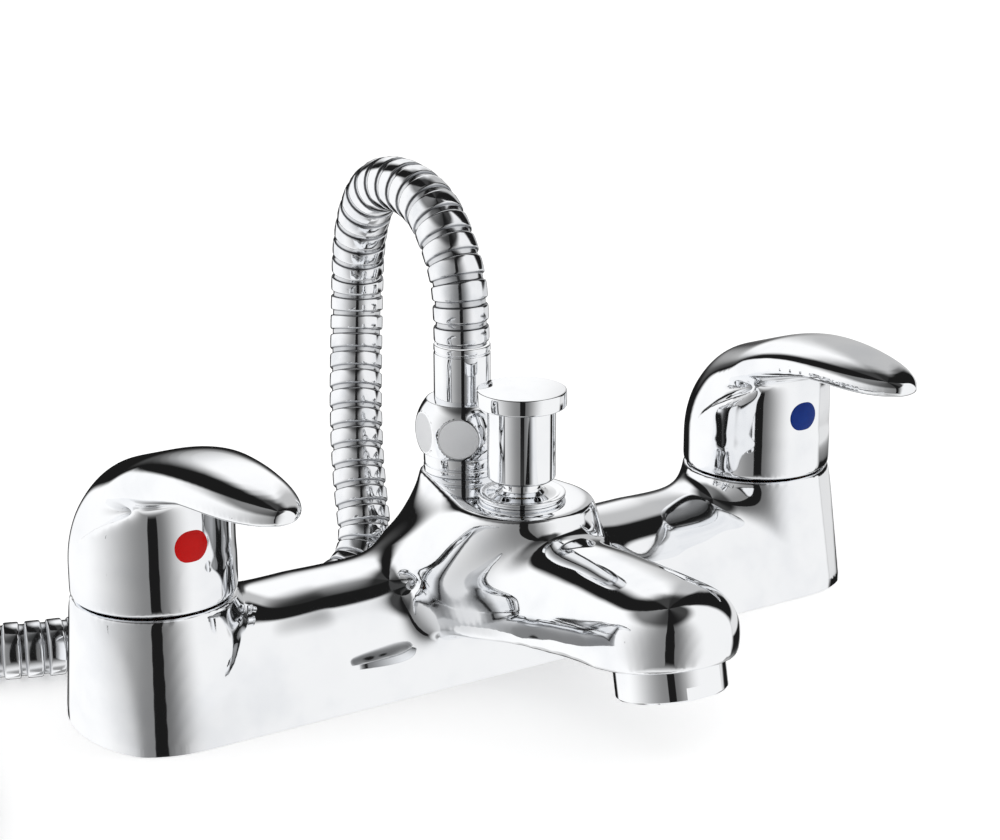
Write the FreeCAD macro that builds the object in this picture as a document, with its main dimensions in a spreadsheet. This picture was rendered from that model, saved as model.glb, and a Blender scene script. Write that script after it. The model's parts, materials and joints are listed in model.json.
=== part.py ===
import FreeCAD, Part
import Sketcher
import math
import os

Vector = FreeCAD.Vector
Rotation = FreeCAD.Rotation
Placement = FreeCAD.Placement
UP = Vector(0, 0, 1)

# The deck-mounted bath and shower mixer stands on z = 0 with its two inlets on the X axis,
# hot at minus X and cold at plus X. The spout points along minus Y.
# Sizes are in millimetres and degrees. Heights are measured from the deck.
SIZES = [
    ("inlet_centres", 180.0, "distance between the two inlets"),
    ("base_half_depth", 24.7, "half depth of the casting on the deck"),
    ("tower_base_radius", 20.5, "tower on the deck, measured along the body"),
    ("tower_height", 31.6, "deck to the rim that the handle turns on"),
    ("tower_top_radius", 19.7, "tower rim"),
    ("bridge_height", 27.3, "deck to the top of the bridge between the towers"),
    ("bridge_draft", 9.0, "lean of the bridge faces, degrees"),
    ("tower_blend", 5.0, "fillet between tower and bridge"),
    ("saddle_height", 43.8, "deck to the flat top of the middle of the casting"),
    ("saddle_front_radius", 16.3, "front end of the flat top"),
    ("saddle_back_radius", 11.0, "back end of the flat top"),
    ("saddle_spread", 14.0, "how much wider the saddle is at its foot"),
    ("saddle_foot_height", 26.0, "deck to the foot of the saddle"),
    ("diverter_reach", 20.2, "diverter axis in front of the inlets"),
    ("shower_reach", 6.9, "shower outlet axis behind the inlets"),
    ("spout_reach", 82.8, "aerator centre in front of the inlets"),
    ("spout_root_half_width", 33.0, "half width of the spout where it leaves the body"),
    ("spout_half_width", 14.6, "half width of the spout near its tip"),
    ("spout_crown_height", 38.6, "deck to the top of the spout at its root"),
    ("spout_tip_height", 39.4, "deck to the top of the spout at its tip"),
    ("spout_root_floor", 12.5, "deck to the underside of the spout at its root"),
    ("spout_tip_floor", 23.5, "deck to the underside of the spout at its tip"),
    ("spout_waterway_radius", 4.5, "bore of the spout"),
    ("spout_waterway_height", 28.5, "deck to the centre of that bore"),
    ("inlet_thread_radius", 12.06, "minor radius of the three-quarter inch inlet thread"),
    ("inlet_depth", 11.0, "depth of the inlet threads"),
    ("seat_web", 2.0, "wall between inlet and valve chamber"),
    ("seat_port_radius", 4.6, "water port in that wall"),
    ("valve_bore_radius", 11.5, "bore that takes the headwork"),
    ("cross_bore_radius", 5.0, "water passage along the bridge"),
    ("cross_bore_height", 18.5, "deck to the centre of that passage"),
    ("tee_bore_radius", 4.4, "passage from there to the diverter chamber"),
    ("chamber_radius", 8.6, "diverter chamber"),
    ("chamber_floor", 18.0, "deck to the floor of the diverter chamber"),
    ("shower_passage_radius", 3.2, "passage from diverter chamber to shower outlet"),
    ("shower_passage_height", 30.0, "deck to the centre of that passage"),
    ("outlet_thread_radius", 7.5, "thread of the shower nipple in the casting"),
    ("outlet_thread_depth", 10.0, "depth of that thread"),
    ("fit_gap", 0.05, "radial clearance of a close fit"),
    ("disc_gap", 0.05, "clearance between the two ceramic discs"),
    ("seal_height", 1.0, "height of the rubber seat seal"),
    ("seal_radius", 8.8, "outer radius of the seat seal"),
    ("disc_height", 2.0, "thickness of a ceramic disc"),
    ("disc_radius", 7.1, "radius of a ceramic disc"),
    ("disc_port_radius", 1.9, "water port in a ceramic disc"),
    ("disc_port_circle", 4.2, "distance of a port from the disc's axis"),
    ("headwork_wall", 1.7, "wall of the headwork cage round the discs"),
    ("headwork_cage_height", 9.0, "height of the headwork cage"),
    ("headwork_flats", 24.0, "size across the flats of the headwork"),
    ("headwork_hex_height", 3.6, "height of the headwork hexagon"),
    ("headwork_neck_radius", 7.0, "outer radius of the neck above the hexagon"),
    ("headwork_neck_height", 1.6, "height of that neck"),
    ("fibre_washer_height", 0.8, "washer under the headwork hexagon"),
    ("fibre_washer_radius", 14.0, "outer radius of that washer"),
    ("spindle_radius", 4.0, "valve spindle"),
    ("spindle_foot_height", 2.4, "height of the spindle's foot"),
    ("spindle_top", 53.0, "deck to the top of the spindle"),
    ("ring_groove_depth", 1.1, "depth of the groove for the spindle's ring seal"),
    ("ring_groove_height", 26.0, "deck to that groove"),
    ("ring_section", 1.7, "height of a ring seal"),
    ("clip_thickness", 0.6, "thickness of the spindle clip"),
    ("clip_radius", 5.6, "outer radius of the spindle clip"),
    ("clip_groove_depth", 0.8, "depth of the groove for that clip"),
    ("handle_gap", 0.8, "gap between tower rim and handle"),
    ("skirt_radius", 19.7, "handle skirt"),
    ("skirt_edge", 1.1, "rounding of the skirt's lower edge"),
    ("handle_wall", 2.4, "wall of the handle"),
    ("dome_foot", 39.6, "deck to where the handle starts to dome"),
    ("dome_top", 64.6, "deck to the top of the dome"),
    ("lever_turn", 2.5, "how far the closed levers point inwards, degrees"),
    ("lever_reach", 62.2, "handle axis to the tip of the lever"),
    ("lever_root_half_width", 13.5, "lever where it leaves the dome"),
    ("lever_half_width", 14.6, "lever at its middle"),
    ("lever_front_half_width", 10.8, "lever in front of its middle"),
    ("lever_nose_half_width", 6.9, "lever near its tip"),
    ("lever_crest", 72.8, "deck to the top of the lever"),
    ("lever_underside", 63.4, "deck to the underside of the lever"),
    ("lever_thickness_at_tip", 3.0, "lever at its tip"),
    ("lever_root_drop", 11.0, "how far the lever's root reaches down into the dome"),
    ("boss_radius", 6.8, "boss of the handle round the spindle"),
    ("boss_foot", 39.4, "deck to the foot of that boss"),
    ("index_height", 48.4, "deck to the centre of the index disc"),
    ("index_radius", 4.2, "index disc"),
    ("index_seat", 18.0, "handle axis to the back of the index disc"),
    ("index_thickness", 1.3, "thickness of the index disc at its edge"),
    ("index_crown", 0.6, "how far the index disc is domed"),
    ("grub_radius", 2.5, "grub screw that holds the handle"),
    ("grub_length", 8.0, "length of that screw"),
    ("grub_key_flats", 2.5, "hexagon key of that screw"),
    ("grub_boss_radius", 4.6, "boss round the grub screw"),
    ("bonnet_radius", 10.9, "diverter bonnet flange"),
    ("bonnet_lip", 1.5, "height of that flange"),
    ("bonnet_thread_depth", 9.8, "length of the bonnet's thread"),
    ("bonnet_neck_radius", 4.75, "neck of the bonnet"),
    ("bonnet_neck_top", 48.2, "deck to the top of that neck"),
    ("stem_radius", 3.0, "diverter stem"),
    ("stem_thread_radius", 2.4, "thread of the stem in knob and plug"),
    ("knob_foot", 48.8, "deck to the foot of the knob"),
    ("knob_stem_radius", 8.4, "barrel of the knob"),
    ("knob_hollow_height", 8.4, "depth of the hollow under the knob"),
    ("knob_radius", 11.05, "head of the knob"),
    ("knob_rim", 4.1, "height of the knob's rim"),
    ("knob_top", 71.5, "deck to the top of the knob"),
    ("knob_cap", 6.5, "top of the knob above the end of the stem"),
    ("diverter_travel", 7.0, "how far the knob is pulled up"),
    ("plug_radius", 7.6, "diverter plug"),
    ("plug_height", 3.2, "height of the diverter plug"),
    ("plug_washer", 1.2, "thickness of a diverter washer"),
    ("plug_nut_height", 2.0, "height of the nut under the plug"),
    ("plug_nut_flats", 7.0, "size across the flats of that nut"),
    ("plug_clearance", 1.0, "floor of the chamber to that nut"),
    ("nipple_ring_radius", 9.9, "rings of the shower nipple"),
    ("nipple_ring_height", 3.9, "height of both rings together"),
    ("nipple_groove", 0.5, "groove between the rings"),
    ("nipple_thread_radius", 9.3, "half-inch thread of the nipple, minor radius"),
    ("nipple_top", 56.0, "deck to the top of the nipple"),
    ("nipple_bore_radius", 6.0, "bore of the nipple"),
    ("check_foot", 44.0, "deck to the foot of the non-return valve"),
    ("check_height", 9.0, "length of the non-return valve"),
    ("check_wall", 1.2, "wall of the non-return valve"),
    ("check_seat", 1.2, "height of its seat"),
    ("check_port_radius", 2.8, "port of its seat"),
    ("check_disc_height", 1.2, "thickness of its poppet disc"),
    ("check_stem_radius", 0.9, "stem of its poppet"),
    ("check_travel", 2.0, "travel of its poppet"),
    ("check_spring_wire", 0.4, "wire of its spring"),
    ("check_spring_radius", 2.4, "radius of its spring, middle of the wire"),
    ("check_spring_turns", 4.0, "turns of its spring"),
    ("nut_centre", 52.5, "deck to the centre of the ball nut"),
    ("nut_radius", 12.0, "ball of the hose nut"),
    ("nut_flats", 21.6, "size across the round flats of the ball nut"),
    ("nut_turn", 20.0, "how far the nut happens to be turned, degrees"),
    ("nut_foot", 48.0, "deck to the foot of the ball nut"),
    ("nut_top", 60.4, "deck to the top of the ball nut"),
    ("hose_washer_height", 1.0, "rubber washer in the hose nut"),
    ("ferrule_flange", 1.4, "flange of the ferrule inside the nut"),
    ("ferrule_neck_radius", 6.9, "neck of the ferrule in the nut"),
    ("ferrule_radius", 7.2, "ferrule"),
    ("ferrule_length", 16.3, "length of the ferrule above the nut"),
    ("ferrule_groove", 0.35, "groove near the end of the ferrule"),
    ("hose_radius", 7.0, "outer radius of the hose"),
    ("hose_core_radius", 6.2, "radius in the grooves of the hose"),
    ("hose_bore_radius", 4.2, "bore of the hose"),
    ("rib_pitch", 5.3, "one rib and one groove of the hose"),
    ("rib_width", 3.5, "flat of a rib"),
    ("rib_flank", 0.3, "slope beside a rib"),
    ("coil_radius", 89.0, "outermost half turn of the coil, middle of the hose"),
    ("coil_step", 14.8, "distance between neighbouring turns"),
    ("coil_tail_radius", 42.0, "last bend inside the coil"),
    ("coil_tail_turn", 120.0, "how far the last bend turns, degrees"),
    ("coil_tail_tilt", 3.1, "how far that bend tilts so that the nut clears the deck, degrees"),
    ("cone_nut_radius", 11.9, "wide end of the conical nut"),
    ("cone_nut_neck_radius", 9.6, "narrow end of the conical nut"),
    ("cone_nut_length", 22.0, "length of the conical nut"),
    ("cone_nut_thread_length", 8.8, "length of its half-inch thread"),
    ("end_washer_height", 1.2, "thickness of the washer behind that thread"),
    ("aerator_lean", 12.7, "forward lean of the aerator, degrees"),
    ("aerator_foot", 14.8, "deck to the centre of the aerator's outlet"),
    ("aerator_radius", 13.0, "aerator collar"),
    ("aerator_collar", 7.2, "height of the collar that shows"),
    ("aerator_thread_radius", 11.6, "thread of the aerator"),
    ("aerator_thread_length", 4.6, "length of that thread"),
    ("aerator_flat_depth", 0.8, "how deep the spanner flats are cut into the collar"),
    ("aerator_flat_height", 3.2, "height of the spanner flats"),
    ("aerator_insert_radius", 10.2, "plastic insert of the aerator"),
    ("aerator_insert_height", 6.0, "height of that insert"),
    ("aerator_hole_radius", 0.75, "hole of the insert"),
    ("aerator_hole_pitch", 2.6, "distance between the rings of holes"),
    ("aerator_washer_height", 1.2, "rubber washer above the aerator"),
    ("spout_end_radius", 15.2, "rounded end of the spout"),
    ("spout_end_overhang", 1.0, "how far that end sits in front of the aerator"),
    ("spout_end_height", 24.9, "aerator outlet to the top of the spout's end"),
    ("spout_end_wall", 7.5, "height of that end below its dome"),
]

# The free hose leaves the ferrule upwards, arches to the back and lies along the deck.
# Its corners are given in millimetres; the coil follows the last of them.
HOSE_ARCH = [(0.0, 6.9, 91.0), (2.4, 25.5, 110.0), (7.0, 58.5, 109.5), (12.4, 79.5, 92.0),
             (15.3, 87.0, 66.0), (16.2, 88.0, 16.0), (-14.8, 33.5, 7.0), (-50.0, 32.5, 7.0)]
HOSE_LAST_CORNER = (-104.0, 33.6)
COIL_START = (-175.83, 79.84)


class Size:
    """A number together with the formula that the document keeps for it."""

    def __init__(self, value, text):
        self.value = value
        self.text = text

    def _join(self, sign, other, value):
        text = other.text if isinstance(other, Size) else repr(other)
        return Size(value, "(%s %s %s)" % (self.text, sign, text))

    def __add__(self, other):
        return self._join("+", other, self.value + number(other))

    def __sub__(self, other):
        return self._join("-", other, self.value - number(other))

    def __mul__(self, other):
        return self._join("*", other, self.value * number(other))

    def __truediv__(self, other):
        return self._join("/", other, self.value / number(other))


def number(value):
    return value.value if isinstance(value, Size) else float(value)


class Sizes:
    """Reads the spreadsheet's cells by their names."""

    def __init__(self, sheet):
        self.sheet = sheet

    def __getattr__(self, name):
        return Size(float(self.sheet.get(name)), "sizes." + name)


def make_sheet(document):
    sheet = document.addObject("Spreadsheet::Sheet", "sizes")
    for row, (name, value, meaning) in enumerate(SIZES, start=1):
        sheet.set("A%d" % row, meaning)
        sheet.set("B%d" % row, str(value))
        sheet.setAlias("B%d" % row, name)
    document.recompute()
    return sheet


doc = FreeCAD.newDocument("bath_shower_mixer")
s = Sizes(make_sheet(doc))
parts = []


# Heights and distances that several pieces share
inlet_x = s.inlet_centres * 0.5
chamber_foot = s.inlet_depth + s.seat_web
disc_foot = chamber_foot + s.seal_height
moving_disc_foot = disc_foot + s.disc_height + s.disc_gap
spindle_foot = moving_disc_foot + s.disc_height
cage_radius = s.disc_radius + s.fit_gap
cage_top = disc_foot + s.headwork_cage_height
hex_foot = s.tower_height + s.fibre_washer_height
hex_top = hex_foot + s.headwork_hex_height
neck_top = hex_top + s.headwork_neck_height
skirt_foot = s.tower_height + s.handle_gap
grub_start = s.spindle_radius + s.fit_gap
bonnet_top = s.saddle_height + s.bonnet_lip
plug_nut_foot = s.chamber_floor + s.plug_clearance
lower_washer_foot = plug_nut_foot + s.plug_nut_height
plug_foot = lower_washer_foot + s.plug_washer
upper_washer_foot = plug_foot + s.plug_height
stem_shoulder = upper_washer_foot + s.plug_washer
knob_ceiling = s.knob_foot + s.knob_hollow_height
stem_thread_top = s.knob_top - s.knob_cap
check_radius = s.nipple_bore_radius - s.fit_gap
check_poppet_foot = s.check_foot + s.check_seat + s.fit_gap
check_poppet_top = check_poppet_foot + s.check_disc_height
nut_bore = s.nipple_thread_radius + s.fit_gap
ferrule_foot = s.nipple_top + s.hose_washer_height
ferrule_shoulder = ferrule_foot + s.ferrule_flange
ferrule_top = s.nut_top + s.ferrule_length
hose_start = s.nut_top + 1.1


def pin(sketch, index, end, across, up):
    """Holds one point of a sketch at its distance from both axes."""
    for kind, axis, value in (("DistanceX", -2, across), ("DistanceY", -1, up)):
        if number(value) == 0:
            sketch.addConstraint(Sketcher.Constraint("PointOnObject", index, end, axis))
            continue
        constraint = Sketcher.Constraint(kind, -1, 1, index, end, number(value))
        place = sketch.addConstraint(constraint)
        if isinstance(value, Size):
            sketch.setExpression("Constraints[%d]" % place, value.text)


def add_sketch(body, name, role):
    sketch = body.newObject("Sketcher::SketchObject", name)
    planes = [item for item in body.Origin.OriginFeatures if item.Role == role]
    sketch.AttachmentSupport = (planes[0], [""])
    sketch.MapMode = "FlatFace"
    return sketch


def draw_polygon(sketch, corners):
    places = [Vector(number(across), number(up), 0) for across, up in corners]
    first = sketch.GeometryCount
    count = len(corners)
    for i in range(count):
        line = Part.LineSegment(places[i], places[(i + 1) % count])
        sketch.addGeometry(line, False)
    for i in range(count):
        following = first + (i + 1) % count
        sketch.addConstraint(Sketcher.Constraint("Coincident", first + i, 2, following, 1))
    for i, (across, up) in enumerate(corners):
        pin(sketch, first + i, 1, across, up)


def draw_circle(sketch, across, up, radius):
    centre = Vector(number(across), number(up), 0)
    index = sketch.addGeometry(Part.Circle(centre, UP, number(radius)), False)
    pin(sketch, index, 3, across, up)
    place = sketch.addConstraint(Sketcher.Constraint("Radius", index, number(radius)))
    if isinstance(radius, Size):
        sketch.setExpression("Constraints[%d]" % place, radius.text)


def new_body(label, x=0, y=0):
    body = doc.addObject("PartDesign::Body", label)
    body.Label = label
    body.Placement = Placement(Vector(number(x), number(y), 0), Rotation())
    for axis, value in (("x", x), ("y", y)):
        if isinstance(value, Size):
            body.setExpression("Placement.Base." + axis, value.text)
    return body


def revolve(body, corners, name="profile"):
    """Turns a closed outline, given as radius and height, round the body's Z axis."""
    sketch = add_sketch(body, name, "XZ_Plane")
    draw_polygon(sketch, corners)
    turn = body.newObject("PartDesign::Revolution", name + "_turn")
    turn.Profile = sketch
    turn.ReferenceAxis = (sketch, ["V_Axis"])
    turn.Angle = 360
    sketch.Visibility = False
    doc.recompute()
    return turn


def turned(label, corners, x=0, y=0):
    body = new_body(label, x, y)
    revolve(body, corners)
    parts.append(body)
    return body


def ring(label, inner, outer, foot, top, x=0, y=0):
    return turned(label, [(inner, foot), (outer, foot), (outer, top), (inner, top)], x, y)


def pocket(body, sketch, depth):
    """Cuts from the sketch upwards and proves that something was cut."""
    before = body.Shape.Volume
    cut = body.newObject("PartDesign::Pocket", sketch.Name + "_cut")
    cut.Profile = sketch
    cut.Length = number(depth)
    if isinstance(depth, Size):
        cut.setExpression("Length", depth.text)
    cut.Reversed = True
    doc.recompute()
    if body.Shape.Volume > before - 1e-6:
        raise RuntimeError("%s cuts nothing" % sketch.Name)
    return cut


def dress(body, kind, amount, wanted):
    """Fillets or chamfers the edges of the body's tip that the test picks."""
    doc.recompute()
    base = body.Tip
    names = ["Edge%d" % (i + 1) for i, edge in enumerate(base.Shape.Edges) if wanted(edge)]
    feature = body.newObject("PartDesign::" + kind, body.Label + "_" + kind.lower())
    feature.Base = (base, names)
    field = "Radius" if kind == "Fillet" else "Size"
    setattr(feature, field, number(amount))
    if isinstance(amount, Size):
        feature.setExpression(field, amount.text)
    doc.recompute()
    return feature


def circle_edge(radius, height):
    """A test for the full circles of one radius at one height."""
    def wanted(edge):
        same = hasattr(edge.Curve, "Radius") and abs(edge.Curve.Radius - number(radius)) < 1e-4
        return same and abs(edge.CenterOfMass.z - number(height)) < 1e-4
    return wanted


def hexagon(body, name, flats, foot, height):
    """Adds a hexagon of the given size across the flats to a body."""
    sketch = add_sketch(body, name, "XY_Plane")
    sketch.AttachmentOffset = Placement(Vector(0, 0, number(foot)), Rotation())
    sketch.setExpression("AttachmentOffset.Base.z", foot.text)
    reach = flats * (1 / math.sqrt(3))
    corners = []
    for i in range(6):
        angle = math.radians(60 * i + 30)
        corners.append((reach * round(math.cos(angle), 9), reach * round(math.sin(angle), 9)))
    draw_polygon(sketch, corners)
    pad = body.newObject("PartDesign::Pad", name + "_pad")
    pad.Profile = sketch
    pad.Length = number(height)
    pad.setExpression("Length", height.text)
    doc.recompute()
    return pad


def feature(label, shape, placement=None):
    """Keeps a shape that is built directly as its own labelled object."""
    item = doc.addObject("Part::Feature", label)
    item.Label = label
    item.Shape = shape
    if placement is not None:
        item.Placement = placement
    parts.append(item)
    return item


def cylinder(radius, foot, top, x=0.0, y=0.0):
    height = number(top) - number(foot)
    return Part.makeCylinder(number(radius), height, Vector(number(x), number(y), number(foot)))


def rod(radius, start, end):
    return Part.makeCylinder(number(radius), (end - start).Length, start, end - start)


def egg(front_radius, front_y, back_radius, back_y, height):
    """Outline of a slice of the saddle: two round ends joined by tangent lines."""
    apart = back_y - front_y
    lean = math.asin((front_radius - back_radius) / apart)
    cos, sin = math.cos(lean), math.sin(lean)

    def on(radius, y, side):
        return Vector(side * radius * cos, y + radius * sin, height)

    front_right, front_left = on(front_radius, front_y, 1), on(front_radius, front_y, -1)
    back_right, back_left = on(back_radius, back_y, 1), on(back_radius, back_y, -1)
    front = Part.Arc(front_left, Vector(0, front_y - front_radius, height), front_right)
    back = Part.Arc(back_right, Vector(0, back_y + back_radius, height), back_left)
    edges = [front.toShape(), Part.LineSegment(front_right, back_right).toShape(),
             back.toShape(), Part.LineSegment(back_left, front_left).toShape()]
    return Part.Wire(edges)


def saddle_shape():
    """The raised middle of the casting, from its wide foot to its flat top."""
    top, foot = number(s.saddle_height), number(s.saddle_foot_height)
    spread = number(s.saddle_spread)
    front, back = number(s.saddle_front_radius), number(s.saddle_back_radius)
    front_y = -number(s.diverter_reach) - 1.1
    back_y = number(s.shower_reach)
    wires = []
    for rise, wide, back_wide, draw in ((1.0, 0.0, 0.0, 0.0), (0.82, 0.24, 0.09, 0.14),
                                        (0.57, 0.47, 0.31, 0.38), (0.28, 0.75, 0.60, 0.66),
                                        (0.0, 1.0, 0.90, 1.0)):
        front_centre = front_y * (1 - 0.76 * draw)
        back_centre = back_y * (1 - draw)
        front_now = front + spread * wide
        least_back = front_now - 0.88 * (back_centre - front_centre)
        back_now = max(back + spread * back_wide, least_back)
        wires.append(egg(front_now, front_centre, back_now, back_centre,
                         foot + (top - foot) * rise))
    return Part.makeLoft(wires, True, False)


def half_oval(half_width, floor, crown, y):
    """A spout section: a flat underside and a crown that is half an ellipse."""
    centre = Vector(0, y, floor)
    wide, high = half_width, crown - floor
    if wide >= high:
        ellipse = Part.Ellipse(centre + Vector(wide, 0, 0), centre + Vector(0, 0, high), centre)
        arc = Part.ArcOfEllipse(ellipse, 0, math.pi)
    else:
        ellipse = Part.Ellipse(centre + Vector(0, 0, high), centre + Vector(-wide, 0, 0), centre)
        arc = Part.ArcOfEllipse(ellipse, -math.pi / 2, math.pi / 2)
    ends = [arc.value(arc.FirstParameter), arc.value(arc.LastParameter)]
    base = Part.LineSegment(ends[1], ends[0])
    return Part.Wire([arc.toShape(), base.toShape()])


def spout_shape():
    """The spout from inside the body to its rounded end over the aerator."""
    root, tip = number(s.spout_root_half_width), number(s.spout_half_width)
    low, high = number(s.spout_root_floor), number(s.spout_tip_floor)
    crown, tip_crown = number(s.spout_crown_height), number(s.spout_tip_height)
    start, reach = -15.0, -number(s.spout_reach)
    wires = []
    for along, narrow, climb in ((0.0, 0.0, 0.0), (0.14, 0.25, 0.10), (0.34, 0.60, 0.22),
                                 (0.55, 0.87, 0.45), (0.75, 0.97, 0.70), (1.0, 1.0, 1.0)):
        y = start + (reach - start) * along
        wires.append(half_oval(root + (tip - root) * narrow, low + (high - low) * climb,
                               crown + (tip_crown - crown) * along, y))
    return Part.makeLoft(wires, True, False)


def aerator_place():
    lean = Rotation(Vector(-1, 0, 0), number(s.aerator_lean))
    return Placement(Vector(0, -number(s.spout_reach), number(s.aerator_foot)), lean)


def spout_end_shape():
    """The rounded end of the spout, on the leaning axis of the aerator."""
    radius, foot = number(s.spout_end_radius), number(s.aerator_collar)
    top = number(s.spout_end_height)
    dome_foot = foot + number(s.spout_end_wall)
    lip = 0.8
    dome = Part.Ellipse(Vector(0, 0, dome_foot), radius, top - dome_foot)
    if radius >= top - dome_foot:
        dome = Part.Ellipse(Vector(radius, 0, dome_foot), Vector(0, 0, top),
                            Vector(0, 0, dome_foot))
    arc = Part.ArcOfEllipse(dome, 0, math.pi / 2).toShape()
    corners = [Vector(0, 0, top), Vector(0, 0, foot), Vector(radius - lip, 0, foot),
               Vector(radius, 0, foot + lip), Vector(radius, 0, dome_foot)]
    edges = [Part.LineSegment(corners[i], corners[i + 1]).toShape() for i in range(4)]
    face = Part.Face(Part.Wire(edges + [arc]))
    solid = face.revolve(Vector(0, 0, 0), UP, 360)
    place = aerator_place()
    solid.Placement = place.multiply(
        Placement(Vector(0, -number(s.spout_end_overhang), 0), Rotation()))
    return solid


def racetrack(half_length, half_depth, height):
    """Two half ellipses round the inlets, joined by straight lines."""
    x = number(inlet_x)
    edges = []
    for side in (-1, 1):
        centre = Vector(side * x, 0, height)
        major = centre + Vector(0, side * half_depth, 0)
        ellipse = Part.Ellipse(major, centre - Vector(side * half_length, 0, 0), centre)
        edges.append(Part.ArcOfEllipse(ellipse, -math.pi, 0).toShape())
        edges.append(Part.LineSegment(Vector(side * x, side * half_depth, height),
                                      Vector(-side * x, side * half_depth, height)).toShape())
    return Part.Wire(Part.__sortEdges__(edges))


def outline_shape():
    """The envelope that rounds off both ends of the casting's foot."""
    depth, rim = number(s.base_half_depth) + 3.3, number(s.tower_top_radius) + 0.3
    wires = [racetrack(number(s.tower_base_radius), depth, 0),
             racetrack(rim, rim, number(s.tower_height))]
    return Part.makeLoft(wires, True, True)


def bridge_shape():
    """The bar between the towers: leaning faces under one round top."""
    lean = math.radians(number(s.bridge_draft))
    half, top = number(s.base_half_depth), number(s.bridge_height)
    centre = (top - half * math.cos(lean)) / (1 - math.sin(lean))
    radius = top - centre
    x = -number(inlet_x)
    side = Vector(x, radius * math.cos(lean), centre + radius * math.sin(lean))
    other = Vector(x, -side.y, side.z)
    arc = Part.Arc(side, Vector(x, 0, top), other)
    foot, other_foot = Vector(x, half, 0), Vector(x, -half, 0)
    edges = [Part.LineSegment(foot, side).toShape(), arc.toShape(),
             Part.LineSegment(other, other_foot).toShape(),
             Part.LineSegment(other_foot, foot).toShape()]
    return Part.Face(Part.Wire(edges)).extrude(Vector(number(s.inlet_centres), 0, 0))


def casting_shape():
    """The cast body: towers, bridge, saddle and spout, less every waterway."""
    outside = bridge_shape()
    for side in (-1, 1):
        x = side * number(inlet_x)
        tower = Part.makeCone(number(s.base_half_depth), number(s.tower_top_radius),
                              number(s.tower_height), Vector(x, 0, 0))
        outside = outside.fuse(tower)
    outside = blend_towers(outside.removeSplitter()).common(outline_shape())
    outside = outside.fuse([saddle_shape(), spout_shape(), spout_end_shape()])
    for side in (-1, 1):
        x = side * number(inlet_x)
        for radius, foot, top in ((s.inlet_thread_radius, -1, s.inlet_depth),
                                  (s.seat_port_radius, 0, s.tower_height),
                                  (s.valve_bore_radius, chamber_foot, s.tower_height + 1)):
            outside = outside.cut(cylinder(radius, foot, top, x))
    for tool in waterways():
        outside = outside.cut(tool)
    return outside


def blend_towers(shape):
    """Rounds the inner corners between each tower and the bridge."""
    near = number(inlet_x) - number(s.tower_top_radius)
    low, high = number(s.base_half_depth) * 0.02, number(s.tower_height) - 0.1
    edges = []
    for edge in shape.Edges:
        box = edge.BoundBox
        inner = min(abs(box.XMin), abs(box.XMax)) < number(inlet_x) - 1
        if inner and box.ZMin >= low - 1 and box.ZMax < high and box.ZLength > 5:
            if box.XLength < near:
                edges.append(edge)
    return shape.makeFillet(number(s.tower_blend), edges)


def waterways():
    """The passages inside the casting."""
    x = number(inlet_x)
    high = number(s.cross_bore_height)
    front, back = -number(s.diverter_reach), number(s.shower_reach)
    yield rod(s.cross_bore_radius, Vector(-x, 0, high), Vector(x, 0, high))
    yield rod(s.tee_bore_radius, Vector(0, 0, high), Vector(0, front, high)).common(
        cylinder(s.chamber_radius * 4, s.chamber_floor, s.saddle_height))
    yield cylinder(s.chamber_radius, s.chamber_floor, s.saddle_height + 5, 0, front)
    level = number(s.spout_waterway_height)
    reach = -number(s.spout_reach)
    yield rod(s.spout_waterway_radius, Vector(0, front, level), Vector(0, reach + 3, level))
    bore = cylinder(s.aerator_thread_radius + s.fit_gap, 0,
                    s.aerator_collar + s.aerator_thread_length + s.aerator_washer_height)
    throat = cylinder(s.aerator_thread_radius * 0.72, 0, s.aerator_collar * 2.4)
    tool = bore.fuse(throat)
    tool.Placement = aerator_place()
    yield tool
    level = number(s.shower_passage_height)
    yield rod(s.shower_passage_radius, Vector(0, front, level), Vector(0, back, level))
    thread_foot = s.saddle_height - s.outlet_thread_depth
    yield cylinder(s.nipple_bore_radius, level - 4, s.saddle_height + 1, 0, back)
    yield cylinder(s.outlet_thread_radius + s.fit_gap, thread_foot, s.saddle_height + 1, 0, back)


def lever_section(half_width, foot, crest, reach):
    """A lens-shaped slice of the lever: a round top on a flatter underside."""
    edge_height = foot + 0.3 * (crest - foot)
    side = Vector(half_width, -reach, edge_height)
    other = Vector(-half_width, -reach, edge_height)
    centre = Vector(0, -reach, edge_height)
    arcs = []
    for start, height, turn in ((side, crest - edge_height, 1), (other, foot - edge_height, -1)):
        major = centre + Vector(turn * half_width, 0, 0)
        minor = centre + Vector(0, 0, height)
        if abs(height) <= half_width:
            ellipse = Part.Ellipse(major, minor, centre)
            arcs.append(Part.ArcOfEllipse(ellipse, 0, math.pi).toShape())
        else:
            ellipse = Part.Ellipse(minor, centre + Vector(-turn * half_width, 0, 0), centre)
            arcs.append(Part.ArcOfEllipse(ellipse, -math.pi / 2, math.pi / 2).toShape())
    return Part.Wire(arcs)


def lever_shape():
    """The lever, from inside the dome to its thin round tip."""
    reach = number(s.lever_reach)
    crest, foot = number(s.lever_crest), number(s.lever_underside)
    dome, tip = number(s.dome_top), number(s.lever_thickness_at_tip)
    nose = number(s.lever_nose_half_width)
    middle = foot + 0.35 * (crest - foot)
    sections = [
        (number(s.lever_root_half_width), foot - number(s.lever_root_drop), dome + 0.1,
         0.03 * reach),
        (number(s.lever_half_width), foot - 0.4, crest - 0.2, 0.42 * reach),
        (number(s.lever_front_half_width), foot + 0.6, crest - 0.4, 0.75 * reach),
        (nose, foot + 1.3, crest - 2.2, 0.92 * reach),
        (nose * 0.4, middle - 0.5 * tip + 0.6, middle + 0.5 * tip + 0.6, reach),
    ]
    wires = [lever_section(*section) for section in sections]
    return Part.makeLoft(wires, True, False)


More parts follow.
